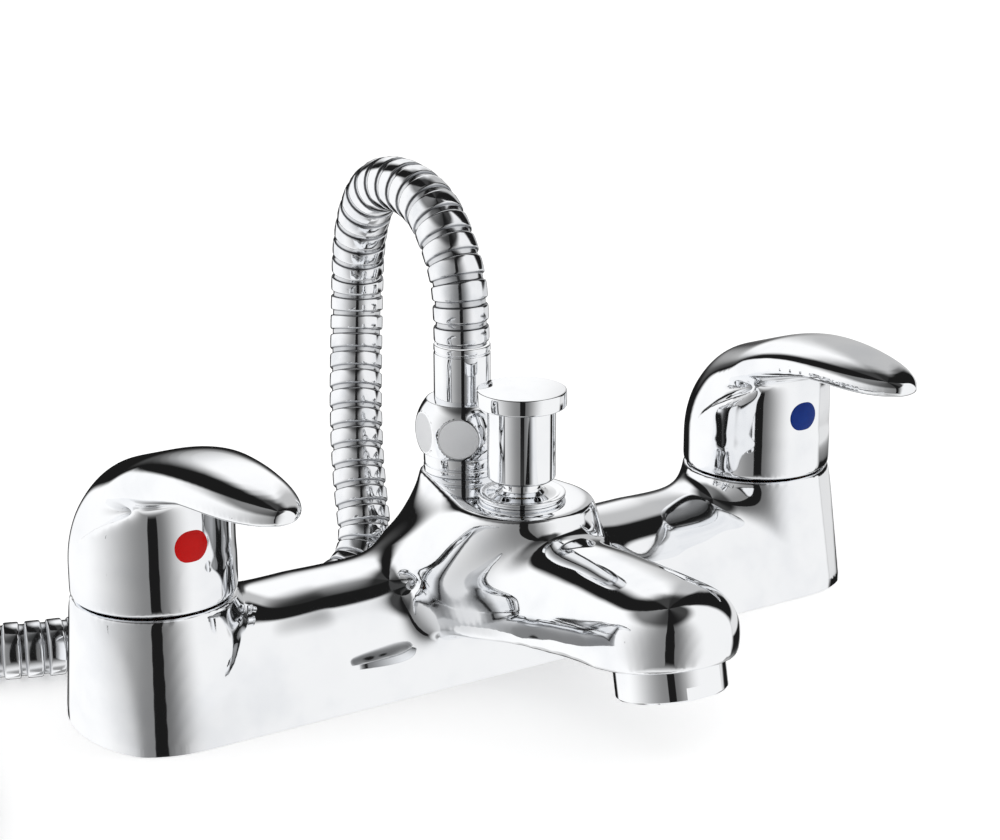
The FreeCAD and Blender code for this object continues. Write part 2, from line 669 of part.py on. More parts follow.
def dome_shape(radius, foot, dome_foot, dome_top, edge):
    """The skirt and dome of the handle as one turned solid."""
    high = dome_top - dome_foot
    centre = Vector(0, 0, dome_foot)
    ellipse = Part.Ellipse(Vector(0, 0, dome_top), Vector(-radius, 0, dome_foot), centre)
    arc = Part.ArcOfEllipse(ellipse, -math.pi / 2, 0)
    if high < radius:
        ellipse = Part.Ellipse(Vector(radius, 0, dome_foot), Vector(0, 0, dome_top), centre)
        arc = Part.ArcOfEllipse(ellipse, 0, math.pi / 2)
    corners = [Vector(0, 0, dome_top), Vector(0, 0, foot), Vector(radius - edge, 0, foot)]
    edges = [Part.LineSegment(corners[i], corners[i + 1]).toShape() for i in range(2)]
    if edge > 0:
        bend = edge * (1 - math.sqrt(0.5))
        rounding = Part.Arc(corners[2], Vector(radius - bend, 0, foot + bend),
                            Vector(radius, 0, foot + edge))
        edges.append(rounding.toShape())
    side = Part.LineSegment(Vector(radius, 0, foot + edge), Vector(radius, 0, dome_foot))
    face = Part.Face(Part.Wire(edges + [side.toShape(), arc.toShape()]))
    return face.revolve(Vector(0, 0, 0), UP, 360)


def handle_shape():
    """One lever handle: hollow dome, lever, and bosses for spindle and grub screw."""
    radius, wall = number(s.skirt_radius), number(s.handle_wall)
    foot, dome_foot, dome_top = number(skirt_foot), number(s.dome_foot), number(s.dome_top)
    outside = dome_shape(radius, foot, dome_foot, dome_top, number(s.skirt_edge))
    hollow = dome_shape(radius - wall, foot - 1, dome_foot, dome_top - wall * 1.6, 0)
    level = number(s.index_height)
    boss = cylinder(s.boss_radius, s.boss_foot, s.dome_top - s.handle_wall)
    side_boss = rod(s.grub_boss_radius, Vector(0, 0, level), Vector(0, -radius + wall * 0.5, level))
    shell = outside.fuse(lever_shape()).cut(hollow)
    shell = shell.fuse([boss, side_boss])
    shell = shell.cut(cylinder(grub_start, s.boss_foot - 1, s.spindle_top + 0.5))
    shell = shell.cut(rod(s.grub_radius + s.fit_gap, Vector(0, 0, level),
                          Vector(0, -radius - 1, level)))
    seat = Vector(0, -number(s.index_seat), level)
    return shell.cut(rod(s.index_radius + s.fit_gap, seat, Vector(0, -radius - 3, level)))


def index_shape():
    """The coloured disc: a short cylinder with a slightly domed face."""
    radius, depth = number(s.index_radius), number(s.index_thickness)
    crown = number(s.index_crown)
    ball = (radius * radius + crown * crown) / (2 * crown)
    disc = Part.makeCylinder(radius, depth + crown)
    dome = Part.makeSphere(ball, Vector(0, 0, depth + crown - ball))
    return disc.common(dome)


def grub_shape():
    """A headless screw with a cone point and a hexagon key."""
    radius, length = number(s.grub_radius), number(s.grub_length)
    point = 1.2
    shape = Part.makeCone(radius - point, radius, point)
    shape = shape.fuse(Part.makeCylinder(radius, length - point, Vector(0, 0, point)))
    across = number(s.grub_key_flats) / math.sqrt(3)
    corners = [Vector(across * math.cos(math.radians(60 * i)),
                      across * math.sin(math.radians(60 * i)), length - 2.5) for i in range(7)]
    key = Part.Face(Part.makePolygon(corners)).extrude(Vector(0, 0, 4))
    return shape.cut(key)


def make_valve(side, sign):
    """All pieces of one quarter-turn valve and its handle."""
    x = inlet_x * sign
    ring(side + "_seat_seal", s.seat_port_radius, s.seal_radius, chamber_foot, disc_foot, x)
    make_disc(side + "_fixed_disc", disc_foot, x, 0)
    make_disc(side + "_moving_disc", moving_disc_foot, x, 90)
    make_headwork(side, x)
    stem = s.spindle_radius
    groove = stem - s.ring_groove_depth
    clip_groove = stem - s.clip_groove_depth
    ring_top = s.ring_groove_height + s.ring_section
    foot_top = spindle_foot + s.spindle_foot_height
    clip_foot = neck_top + s.fit_gap
    clip_top = clip_foot + s.clip_thickness
    turned(side + "_spindle", [
        (0, spindle_foot), (s.disc_radius - s.fit_gap, spindle_foot),
        (s.disc_radius - s.fit_gap, foot_top), (stem, foot_top),
        (stem, s.ring_groove_height), (groove, s.ring_groove_height), (groove, ring_top),
        (stem, ring_top), (stem, clip_foot), (clip_groove, clip_foot),
        (clip_groove, clip_top), (stem, clip_top), (stem, s.spindle_top - 1),
        (stem - 1, s.spindle_top), (0, s.spindle_top)], x)
    ring(side + "_spindle_ring", groove, stem + s.fit_gap * 0.4, s.ring_groove_height, ring_top, x)
    ring(side + "_spindle_clip", clip_groove, s.clip_radius, clip_foot, clip_top, x)
    washer_bore = s.valve_bore_radius
    ring(side + "_headwork_washer", washer_bore, s.fibre_washer_radius, s.tower_height,
         hex_foot, x)
    turn = Rotation(UP, -sign * number(s.lever_turn))
    spot = Vector(number(x), 0, 0)
    feature(side + "_handle", handle_shape(), Placement(spot, turn))
    outward = Rotation(Vector(1, 0, 0), 90)
    for name, shape, reach in ((side + "_index_disc", index_shape(), number(s.index_seat)),
                               (side + "_grub_screw", grub_shape(), number(grub_start))):
        place = Placement(spot, turn)
        inner = Placement(Vector(0, -reach, number(s.index_height)), outward)
        feature(name, shape, place.multiply(inner))


def make_disc(label, foot, x, turn):
    """A ceramic disc with two opposite water ports."""
    body = new_body(label, x)
    sketch = add_sketch(body, "disc", "XY_Plane")
    sketch.AttachmentOffset = Placement(Vector(0, 0, number(foot)), Rotation())
    sketch.setExpression("AttachmentOffset.Base.z", foot.text)
    draw_circle(sketch, 0, 0, s.disc_radius - s.fit_gap * 0)
    for sign in (-1, 1):
        away = s.disc_port_circle * sign
        spot = (away, 0) if turn == 0 else (0, away)
        draw_circle(sketch, spot[0], spot[1], s.disc_port_radius)
    pad = body.newObject("PartDesign::Pad", "thickness")
    pad.Profile = sketch
    pad.Length = number(s.disc_height)
    pad.setExpression("Length", s.disc_height.text)
    doc.recompute()
    parts.append(body)


def make_headwork(side, x):
    """The brass headwork: a windowed cage, a threaded barrel, a hexagon and a neck."""
    body = new_body(side + "_headwork", x)
    barrel = s.valve_bore_radius - s.fit_gap
    cage = cage_radius + s.headwork_wall
    shoulder = spindle_foot + s.spindle_foot_height + s.fit_gap
    bore = s.spindle_radius + s.fit_gap
    revolve(body, [
        (cage_radius, disc_foot), (cage, disc_foot), (cage, cage_top), (barrel, cage_top + 1),
        (barrel, s.tower_height), (barrel, hex_foot), (s.headwork_flats * 0.5, hex_foot),
        (s.headwork_flats * 0.5, hex_top), (s.headwork_neck_radius, hex_top),
        (s.headwork_neck_radius, neck_top), (bore, neck_top), (bore, shoulder),
        (cage_radius, shoulder)])
    window = add_sketch(body, "window", "YZ_Plane")
    level = s.cross_bore_height
    half = s.cross_bore_radius * 0.5
    draw_polygon(window, [(half * -1, level), (half, level), (half, shoulder - 0.6),
                          (half * -1, shoulder - 0.6)])
    cut = body.newObject("PartDesign::Pocket", "window_cut")
    cut.Profile = window
    cut.Type = 1
    cut.Midplane = True
    doc.recompute()
    hexagon(body, "hexagon", s.headwork_flats, hex_foot, s.headwork_hex_height)
    hole = add_sketch(body, "bore", "XY_Plane")
    draw_circle(hole, 0, 0, bore)
    pocket(body, hole, s.spindle_top)
    parts.append(body)


def make_diverter():
    """The pull knob that sends the water to spout or shower, and its valve."""
    y = s.diverter_reach * -1
    bore = s.stem_radius + s.fit_gap
    barrel = s.chamber_radius - s.fit_gap
    thread_foot = s.saddle_height - s.bonnet_thread_depth
    seal_foot = thread_foot + s.bonnet_thread_depth * 0.5
    seal_top = seal_foot + s.ring_section
    seal_radius = s.stem_radius + s.ring_groove_depth
    low_lip = s.saddle_height + s.bonnet_lip * 0.4
    turned("diverter_bonnet", [
        (bore, thread_foot), (barrel, thread_foot), (barrel, s.saddle_height),
        (s.bonnet_radius - 0.6, s.saddle_height), (s.bonnet_radius - 0.6, low_lip),
        (s.bonnet_radius, low_lip + 0.2), (s.bonnet_radius, bonnet_top - 0.3),
        (s.bonnet_radius - 0.4, bonnet_top), (s.bonnet_neck_radius + 1.5, bonnet_top + 0.5),
        (s.bonnet_neck_radius, bonnet_top + 1.4), (s.bonnet_neck_radius, s.bonnet_neck_top),
        (bore, s.bonnet_neck_top), (bore, seal_top), (seal_radius, seal_top),
        (seal_radius, seal_foot), (bore, seal_foot)], 0, y)
    ring("diverter_stem_seal", s.stem_radius + s.fit_gap * 0.6, seal_radius, seal_foot,
         seal_top, 0, y)
    thread = s.stem_thread_radius
    turned("diverter_stem", [
        (0, plug_nut_foot), (thread, plug_nut_foot), (thread, stem_shoulder),
        (s.stem_radius, stem_shoulder), (s.stem_radius, knob_ceiling), (thread, knob_ceiling),
        (thread, stem_thread_top), (0, stem_thread_top)], 0, y)
    socket = thread + s.fit_gap
    ring("diverter_lower_washer", socket, s.plug_radius - 0.2, lower_washer_foot, plug_foot, 0, y)
    turned("diverter_plug", [
        (socket, plug_foot), (s.plug_radius - 0.6, plug_foot), (s.plug_radius, plug_foot + 0.6),
        (s.plug_radius, upper_washer_foot - 0.6), (s.plug_radius - 0.6, upper_washer_foot),
        (socket, upper_washer_foot)], 0, y)
    ring("diverter_upper_washer", socket, s.plug_radius - 0.2, upper_washer_foot,
         stem_shoulder, 0, y)
    nut = new_body("diverter_plug_nut", 0, y)
    hexagon(nut, "hexagon", s.plug_nut_flats, plug_nut_foot, s.plug_nut_height)
    hole = add_sketch(nut, "bore", "XY_Plane")
    draw_circle(hole, 0, 0, socket)
    pocket(nut, hole, s.knob_top)
    parts.append(nut)
    make_knob(y, socket)


def make_knob(y, socket):
    hollow = s.bonnet_neck_radius + 0.5
    rim_foot = s.knob_top - s.knob_rim
    body = turned("diverter_knob", [
        (hollow, s.knob_foot), (s.knob_stem_radius, s.knob_foot),
        (s.knob_stem_radius, rim_foot), (s.knob_radius, rim_foot),
        (s.knob_radius, s.knob_top), (0, s.knob_top), (0, stem_thread_top + 0.3),
        (socket, stem_thread_top + 0.3), (socket, knob_ceiling), (hollow, knob_ceiling)], 0, y)
    dress(body, "Fillet", s.knob_stem_radius * 0.12, circle_edge(s.knob_stem_radius, s.knob_foot))
    dress(body, "Fillet", s.knob_rim * 0.3, circle_edge(s.knob_stem_radius, rim_foot))
    dress(body, "Fillet", s.knob_rim * 0.12, circle_edge(s.knob_radius, rim_foot))
    dress(body, "Fillet", s.knob_rim * 0.1, circle_edge(s.knob_radius, s.knob_top))


def make_shower_outlet():
    """The nipple on the casting and the non-return valve inside it."""
    y = s.shower_reach
    foot = s.saddle_height - s.outlet_thread_depth
    top = s.saddle_height + s.nipple_ring_height
    middle = s.saddle_height + s.nipple_ring_height * 0.5
    half_groove = s.nipple_groove * 0.5
    ring_radius = s.nipple_ring_radius
    turned("shower_nipple", [
        (s.nipple_bore_radius, foot), (s.outlet_thread_radius, foot),
        (s.outlet_thread_radius, s.saddle_height), (ring_radius, s.saddle_height),
        (ring_radius, middle - half_groove), (ring_radius - s.nipple_groove, middle),
        (ring_radius, middle + half_groove), (ring_radius, top - 0.4),
        (ring_radius - 0.4, top), (s.nipple_thread_radius, top),
        (s.nipple_thread_radius, s.nipple_top - 0.6), (s.nipple_thread_radius - 0.6, s.nipple_top),
        (s.nipple_bore_radius, s.nipple_top)], 0, y)
    inner = check_radius - s.check_wall
    check_top = s.check_foot + s.check_height
    seat_top = s.check_foot + s.check_seat
    guide = s.check_stem_radius + s.fit_gap
    body = turned("check_valve_body", [
        (s.check_port_radius, s.check_foot), (check_radius, s.check_foot),
        (check_radius, check_top), (guide, check_top), (guide, check_top - s.check_wall),
        (inner, check_top - s.check_wall), (inner, seat_top), (s.check_port_radius, seat_top)],
        0, y)
    hole = add_sketch(body, "port", "XY_Plane")
    hole.AttachmentOffset = Placement(Vector(0, 0, number(check_top - s.check_wall * 1.5)),
                                      Rotation())
    hole.setExpression("AttachmentOffset.Base.z", (check_top - s.check_wall * 1.5).text)
    draw_circle(hole, (inner + guide) * 0.5, 0, (inner - guide) * 0.36)
    cut = pocket(body, hole, s.check_wall * 3)
    pattern = body.newObject("PartDesign::PolarPattern", "ports")
    pattern.Originals = [cut]
    pattern.Axis = (hole, ["N_Axis"])
    pattern.Angle = 360
    pattern.Occurrences = 4
    body.Tip = pattern
    doc.recompute()
    stem_top = check_top + s.check_wall
    turned("check_valve_poppet", [
        (0, check_poppet_foot), (inner - 0.3, check_poppet_foot),
        (inner - 0.3, check_poppet_top), (s.check_stem_radius, check_poppet_top),
        (s.check_stem_radius, stem_top), (0, stem_top)], 0, y)
    make_check_spring(number(check_top - s.check_wall), number(y))


def make_check_spring(ceiling, y):
    """The spring between the poppet's disc and the top of the non-return valve."""
    wire = number(s.check_spring_wire)
    radius = number(s.check_spring_radius)
    foot = number(check_poppet_top) + 0.5 * wire + 0.05
    height = ceiling - 0.5 * wire - 0.05 - foot
    turns = number(s.check_spring_turns)
    path = Part.Wire(Part.makeHelix(height / turns, height, radius).Edges)
    section = Part.Wire(Part.makeCircle(0.5 * wire, Vector(radius, 0, 0), Vector(0, 1, 0)))
    spring = path.makePipeShell([section], True, True)
    feature("check_valve_spring", spring, Placement(Vector(0, y, foot), Rotation()))


def ball_nut_shape():
    """The hose nut: a ball with six round flats, bored from below for the nipple."""
    centre = number(s.nut_centre)
    ball = Part.makeSphere(number(s.nut_radius), Vector(0, 0, centre))
    across = number(s.nut_flats) / math.sqrt(3)
    low, high = number(s.nut_foot), number(s.nut_top)
    corners = [Vector(across * math.cos(math.radians(60 * i)),
                      across * math.sin(math.radians(60 * i)), low) for i in range(7)]
    prism = Part.Face(Part.makePolygon(corners)).extrude(Vector(0, 0, high - low))
    nut = ball.common(prism)
    nut = nut.cut(cylinder(nut_bore, s.nut_foot - 1, ferrule_shoulder + s.fit_gap))
    return nut.cut(cylinder(s.ferrule_neck_radius + s.fit_gap, s.nut_foot, s.nut_top + 1))


def make_hose_start():
    """The nut, washer and ferrule that join the hose to the nipple."""
    y = s.shower_reach
    flat_turn = Rotation(UP, number(s.nut_turn))
    feature("hose_swivel_nut", ball_nut_shape(), Placement(Vector(0, number(y), 0), flat_turn))
    ring("hose_washer", s.nipple_bore_radius, s.nipple_thread_radius - 0.3, s.nipple_top,
         ferrule_foot, 0, y)
    bore = s.hose_core_radius + s.fit_gap
    out = s.ferrule_radius
    groove_top = ferrule_top - 1.6
    groove_foot = groove_top - 0.7
    turned("hose_ferrule", [
        (s.hose_bore_radius, ferrule_foot), (s.nipple_thread_radius - 0.1, ferrule_foot),
        (s.nipple_thread_radius - 0.1, ferrule_shoulder),
        (s.ferrule_neck_radius, ferrule_shoulder), (s.ferrule_neck_radius, s.nut_top + 0.3),
        (out, s.nut_top + 0.6), (out, groove_foot), (out - s.ferrule_groove, groove_foot + 0.2),
        (out - s.ferrule_groove, groove_top - 0.2), (out, groove_top), (out, ferrule_top - 0.4),
        (out - 0.4, ferrule_top), (bore, ferrule_top), (bore, hose_start),
        (s.hose_bore_radius, hose_start)], 0, y)


def round_route(points):
    """Joins straight runs by arcs as large as the two runs beside each corner allow."""
    edges = []
    radii = []
    last = points[0]
    for before, corner, after in zip(points, points[1:], points[2:]):
        back, ahead = before - corner, after - corner
        half = 0.5 * (math.pi - back.getAngle(ahead))
        trim = 0.45 * min(back.Length, ahead.Length)
        radii.append(trim / math.tan(half))
        start = corner + back * (trim / back.Length)
        end = corner + ahead * (trim / ahead.Length)
        middle = (back * (1 / back.Length) + ahead * (1 / ahead.Length)).normalize()
        gap = radii[-1] / math.cos(half) - radii[-1]
        edges.append(Part.LineSegment(last, start).toShape())
        edges.append(Part.Arc(start, corner + middle * gap, end).toShape())
        last = end
    edges.append(Part.LineSegment(last, points[-1]).toShape())
    return edges, radii


def hose_route():
    """Corners of the hose from the ferrule to the coil."""
    deck = number(s.hose_radius)
    start = Vector(0, number(s.shower_reach), number(hose_start))
    points = [start] + [Vector(*corner) for corner in HOSE_ARCH]
    points[1] = Vector(0, number(s.shower_reach), points[1].z)
    points.append(Vector(*HOSE_LAST_CORNER, deck))
    points.append(Vector(*COIL_START, deck))
    return points


def frames_along(edges, stations):
    """Places on the path with a tangent and a side that never spins."""
    total = 0.0
    spans = []
    for edge in edges:
        spans.append((total, edge))
        total += edge.Length
    side = Vector(1, 0, 0)
    frames = []
    for station in stations:
        base, edge = [span for span in spans if span[0] <= station + 1e-9][-1]
        along = edge.getParameterByLength(min(station - base, edge.Length))
        spot, tangent = edge.valueAt(along), edge.tangentAt(along)
        side = (side - tangent * side.dot(tangent)).normalize()
        frames.append((spot, tangent, side))
    return frames


def circle_wire(frame, radius):
    spot, tangent, side = frame
    turn = Rotation(side, tangent.cross(side), tangent, "ZXY")
    circle = Part.makeCircle(radius)
    circle.Placement = Placement(spot, turn)
    return Part.Wire(circle)


def ribbed_hose_shape(edges):
    """The flexible hose: a spiral band of metal drawn as ribs over a core, with its bore."""
    length = sum(edge.Length for edge in edges)
    core, outer = number(s.hose_core_radius), number(s.hose_radius)
    pitch, flat, flank = number(s.rib_pitch), number(s.rib_width), number(s.rib_flank)
    first = number(ferrule_top) - number(hose_start) + 0.6
    count = int((length - first - 2 * outer) / pitch)
    stations, radii = [0.0], [core]
    for i in range(count):
        start = first + i * pitch
        stations += [start, start + flank, start + flank + flat, start + 2 * flank + flat]
        radii += [core, outer, outer, core]
    stations.append(length)
    radii.append(core)
    frames = frames_along(edges, stations)
    wires = [circle_wire(frame, radius) for frame, radius in zip(frames, radii)]
    hose = Part.makeLoft(wires, True, True)
    bore_radius = number(s.hose_bore_radius)
    bore = Part.Wire(edges).makePipeShell([circle_wire(frames[0], bore_radius)], True, False)
    print("hose ribs", count, "length", round(length, 1))
    return hose.cut(bore)


def coil_edges():
    """The coil as half turns whose radius shrinks, and a last bend towards the middle."""
    deck, step = number(s.hose_radius), number(s.coil_step)
    edges = []
    spot = Vector(*COIL_START, deck)
    heading = (spot - Vector(*HOSE_LAST_CORNER, deck)).normalize()
    radius = number(s.coil_radius)
    turns = [(radius - 0.5 * step * i, 180.0, 0.0) for i in range(4)]
    turns.append((number(s.coil_tail_radius), number(s.coil_tail_turn),
                  number(s.coil_tail_tilt)))
    for bend, degrees, tilt in turns:
        axis = Rotation(heading, tilt).multVec(UP)
        inward = axis.cross(heading)
        centre = spot + inward * bend
        middle = centre + Rotation(axis, degrees / 2).multVec(spot - centre)
        end = centre + Rotation(axis, degrees).multVec(spot - centre)
        edges.append(Part.Arc(spot, middle, end).toShape())
        heading = Rotation(axis, degrees).multVec(heading)
        spot = end
    tail = spot + heading * (2 * deck)
    edges.append(Part.LineSegment(spot, tail).toShape())
    return edges, tail, heading


def least_gap(edges, thickness):
    """The smallest distance between two turns of the coil, measured on points."""
    points = []
    total = 0.0
    for edge in edges:
        for i in range(40):
            along = edge.Length * i / 40
            points.append((total + along, edge.valueAt(edge.getParameterByLength(along))))
        total += edge.Length
    far = 4 * thickness
    gaps = [(a - b).Length for i, (at, a) in enumerate(points) for to, b in points[i + 1:]
            if to - at > far]
    return min(gaps) - thickness


def make_hose():
    """The free stretch, the coil of the rest, and the fittings on its far end."""
    edges, radii = round_route(hose_route())
    print("hose bend radii", [round(radius, 1) for radius in radii])
    free = ribbed_hose_shape(edges)
    feature("shower_hose", free)
    coil, tail, heading = coil_edges()
    outer = number(s.hose_radius)
    first = coil[0]
    start = (first.valueAt(first.FirstParameter), first.tangentAt(first.FirstParameter), UP)
    section = circle_wire(start, outer)
    solid = Part.Wire(coil).makePipeShell([section], True, False)
    length = sum(edge.Length for edge in coil)
    area = math.pi * outer * outer
    print("coil length", round(length, 1), "volume ratio", round(solid.Volume / (area * length), 5))
    print("coil least gap", round(least_gap(coil, 2 * outer), 2))
    print("hose length", round(length + sum(edge.Length for edge in edges), 1))
    feature("hose_coil", solid)
    make_hose_end(tail, heading)


def make_hose_end(tail, heading):
    """The ferrule and the conical nut that a handset screws into."""
    turn = Rotation(UP, heading)
    place = Placement(tail, turn)
    long, wide = number(s.cone_nut_length), number(s.cone_nut_radius)
    thread, threaded = number(s.nipple_thread_radius), number(s.cone_nut_thread_length)
    neck, sleeve, gap = number(s.ferrule_neck_radius), number(s.ferrule_radius), number(s.fit_gap)
    bore, flange = number(s.hose_bore_radius), number(s.ferrule_flange)
    soft = number(s.end_washer_height)
    collar = 6.0
    washer_foot = collar + long - threaded - soft
    flange_foot = washer_foot - flange
    ferrule = Part.makeCylinder(sleeve, collar - 0.1)
    ferrule = ferrule.fuse([Part.makeCylinder(neck, flange_foot),
                            Part.makeCylinder(thread - 0.1, flange, Vector(0, 0, flange_foot))])
    ferrule = ferrule.cut(Part.makeCylinder(bore, 3 * long, Vector(0, 0, -0.5)))
    feature("hose_end_ferrule", ferrule.removeSplitter(), place)
    nut = Part.makeCone(number(s.cone_nut_neck_radius), wide, long, Vector(0, 0, collar))
    nut = nut.cut(Part.makeCylinder(neck + gap, long, Vector(0, 0, collar - 1)))
    nut = nut.cut(Part.makeCylinder(thread + 0.4, flange + soft + gap,
                                    Vector(0, 0, flange_foot - gap)))
    nut = nut.cut(Part.makeCylinder(thread + gap, long, Vector(0, 0, flange_foot)))
    feature("hose_end_nut", nut, place)
    mouth = tail + heading * (collar + long)
    print("handset thread mouth", [round(v, 3) for v in mouth], "axis",
          [round(v, 5) for v in heading])
    washer = Part.makeCylinder(thread - 0.2, soft, Vector(0, 0, washer_foot))
    washer = washer.cut(Part.makeCylinder(bore, 3, Vector(0, 0, washer_foot - 1)))
    feature("hose_end_washer", washer, place)


def leaning_body(label):
    body = doc.addObject("PartDesign::Body", label)
    body.Label = label
    body.Placement = aerator_place()
    body.setExpression("Placement.Base.y", (s.spout_reach * -1).text)
    body.setExpression("Placement.Base.z", s.aerator_foot.text)
    body.setExpression("Placement.Rotation.Angle", s.aerator_lean.text)
    return body


def make_aerator():
    """The collar, the insert with its holes and the washer in the end of the spout."""
    body = leaning_body("aerator_housing")
    top = s.aerator_collar + s.aerator_thread_length
    insert_bore = s.aerator_insert_radius + s.fit_gap
    lip = s.aerator_insert_radius - 1.0
    insert_foot = s.aerator_collar * 0.12
    revolve(body, [
        (lip, 0), (s.aerator_radius - 0.5, 0), (s.aerator_radius, 0.5),
        (s.aerator_radius, s.aerator_collar), (s.aerator_thread_radius, s.aerator_collar),
        (s.aerator_thread_radius, top), (insert_bore, top), (insert_bore, insert_foot),
        (lip, insert_foot)])
    flats = add_sketch(body, "flats", "XY_Plane")
    near, far = s.aerator_radius - s.aerator_flat_depth, s.aerator_radius + 2
    for sign in (-1, 1):
        draw_polygon(flats, [(far * -1, near * sign), (far, near * sign), (far, far * sign),
                             (far * -1, far * sign)])
    pocket(body, flats, s.aerator_flat_height)
    parts.append(body)
    insert_top = insert_foot + s.aerator_insert_height
    insert = leaning_body("aerator_insert")
    sketch = add_sketch(insert, "grid", "XY_Plane")
    sketch.AttachmentOffset = Placement(Vector(0, 0, number(insert_foot)), Rotation())
    sketch.setExpression("AttachmentOffset.Base.z", insert_foot.text)
    draw_circle(sketch, 0, 0, s.aerator_insert_radius)
    draw_circle(sketch, 0, 0, s.aerator_hole_radius)
    for turn in range(1, 4):
        for i in range(6 * turn):
            angle = math.radians(60.0 * i / turn)
            away = s.aerator_hole_pitch * turn
            draw_circle(sketch, away * round(math.cos(angle), 6) if abs(math.cos(angle)) > 1e-6
                        else 0, away * round(math.sin(angle), 6)
                        if abs(math.sin(angle)) > 1e-6 else 0, s.aerator_hole_radius)
    pad = insert.newObject("PartDesign::Pad", "height")
    pad.Profile = sketch
    pad.Length = number(s.aerator_insert_height)
    pad.setExpression("Length", s.aerator_insert_height.text)
    doc.recompute()
    parts.append(insert)
    washer = leaning_body("aerator_washer")
    revolve(washer, [
        (s.aerator_thread_radius * 0.72, top), (s.aerator_thread_radius, top),
        (s.aerator_thread_radius, top + s.aerator_washer_height),
        (s.aerator_thread_radius * 0.72, top + s.aerator_washer_height)])
    parts.append(washer)


def check_and_export():
    """Refuses a failed document, then writes one file for each sub-part."""
    doc.recompute()
    for item in doc.Objects:
        if "Invalid" in item.State or "Error" in item.State:
            raise RuntimeError("%s is in state %s" % (item.Label, item.State))
    for item in parts:
        shape = item.Shape
        if shape.isNull() or not shape.isValid() or not shape.Solids:
            raise RuntimeError("%s has no valid solid" % item.Label)
    os.makedirs("parts", exist_ok=True)
    for item in parts:
        item.Shape.exportStep(os.path.join("parts", item.Label + ".step"))
        print(item.Label, "solids", len(item.Shape.Solids), "volume", round(item.Shape.Volume, 1))


feature("body_casting", casting_shape())
make_valve("hot", -1)
make_valve("cold", 1)
make_diverter()
make_shower_outlet()
make_hose_start()
make_hose()
make_aerator()
check_and_export()
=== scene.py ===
"""Blender scene of a chrome bath and shower mixer tap, in metres, in the CAD frame."""
import json
import math

import bmesh
import bpy
from mathutils import Matrix, Vector


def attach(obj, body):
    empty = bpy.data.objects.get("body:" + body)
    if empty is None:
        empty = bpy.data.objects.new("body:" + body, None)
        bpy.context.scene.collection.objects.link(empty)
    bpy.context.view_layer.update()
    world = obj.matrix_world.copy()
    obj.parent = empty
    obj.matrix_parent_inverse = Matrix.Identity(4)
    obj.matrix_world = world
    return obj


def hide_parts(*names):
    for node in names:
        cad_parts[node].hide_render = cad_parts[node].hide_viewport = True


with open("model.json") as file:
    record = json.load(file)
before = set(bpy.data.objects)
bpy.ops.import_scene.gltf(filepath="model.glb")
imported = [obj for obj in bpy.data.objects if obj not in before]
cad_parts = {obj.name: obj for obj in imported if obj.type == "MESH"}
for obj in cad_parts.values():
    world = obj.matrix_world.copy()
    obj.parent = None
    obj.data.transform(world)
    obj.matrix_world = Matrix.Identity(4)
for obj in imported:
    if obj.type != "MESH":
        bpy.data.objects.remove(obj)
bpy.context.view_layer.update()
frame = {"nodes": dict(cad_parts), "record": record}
nodes = frame["nodes"]
scene = bpy.context.scene
scene.view_settings.view_transform = "Standard"

CAMERA_PLACE = (-0.3178, -0.4990, 0.2424)
CAMERA_BACK = (-0.5207, -0.8003, 0.2972)
FOCAL_LENGTH = 2.472  # in picture widths

SHOWER_Y = 0.0069
KNOB_Y = -0.0202
TOWER_X = 0.09
LEVER_TURN = 2.5  # degrees inwards, as a closed lever points
DISC_DEPTH = 0.018  # from the tower's axis to the back of an index disc
DOME_RADIUS = 0.0195
BALL_RADIUS = 0.012
BALL_HEIGHT = 0.0546
FLAT_REACH = 0.0108
HOSE_WIDE = 0.014
RIB_PITCH = 0.0053
BODY_VOXEL = 0.0008
HANDLE_VOXEL = 0.0005
TENT_RADIUS = 0.75

BRIGHT_PLATE = (0.93, 0.94, 0.955, 1)
DIM_PLATE = (0.86, 0.875, 0.90, 1)

# The hose from inside its ferrule to the start of the coil.
HOSE_RUN = [(0.0, 0.0069, 0.0615), (0.0, 0.0069, 0.0830), (0.0002, 0.0093, 0.0957),
            (0.0008, 0.0229, 0.1107), (0.0005, 0.0474, 0.1122), (0.0015, 0.0604, 0.0970),
            (0.0030, 0.0653, 0.0725), (-0.0075, 0.0490, 0.0370), (-0.0127, 0.0320, 0.0070),
            (-0.0500, 0.0325, 0.0070), (-0.1040, 0.0336, 0.0070), (-0.1560, 0.0671, 0.0070)]
COIL_START = Vector((-0.17583, 0.07984, 0.0070))
COIL_HEADING = Vector((-0.8409, 0.5413, 0.0))


def new_object(name, data):
    piece = bpy.data.objects.new(name, data)
    scene.collection.objects.link(piece)
    return piece


def make_mesh(name, bm):
    mesh = bpy.data.meshes.new(name)
    bm.to_mesh(mesh)
    bm.free()
    mesh.shade_smooth()
    return mesh


def finished(piece, keep_layers=True):
    """The piece's mesh with its modifiers worked in."""
    graph = bpy.context.evaluated_depsgraph_get()
    graph.update()
    mesh = bpy.data.meshes.new_from_object(piece.evaluated_get(graph),
                                           preserve_all_data_layers=keep_layers, depsgraph=graph)
    piece.modifiers.clear()
    piece.data = mesh
    return mesh


def give(piece, body, material, slot, *stands_for):
    """Hands a finished piece its material, its body and the nodes that it stands for."""
    piece.data.materials.clear()
    piece.data.materials.append(material)
    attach(piece, body)
    if stands_for:
        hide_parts(*stands_for)
    return piece


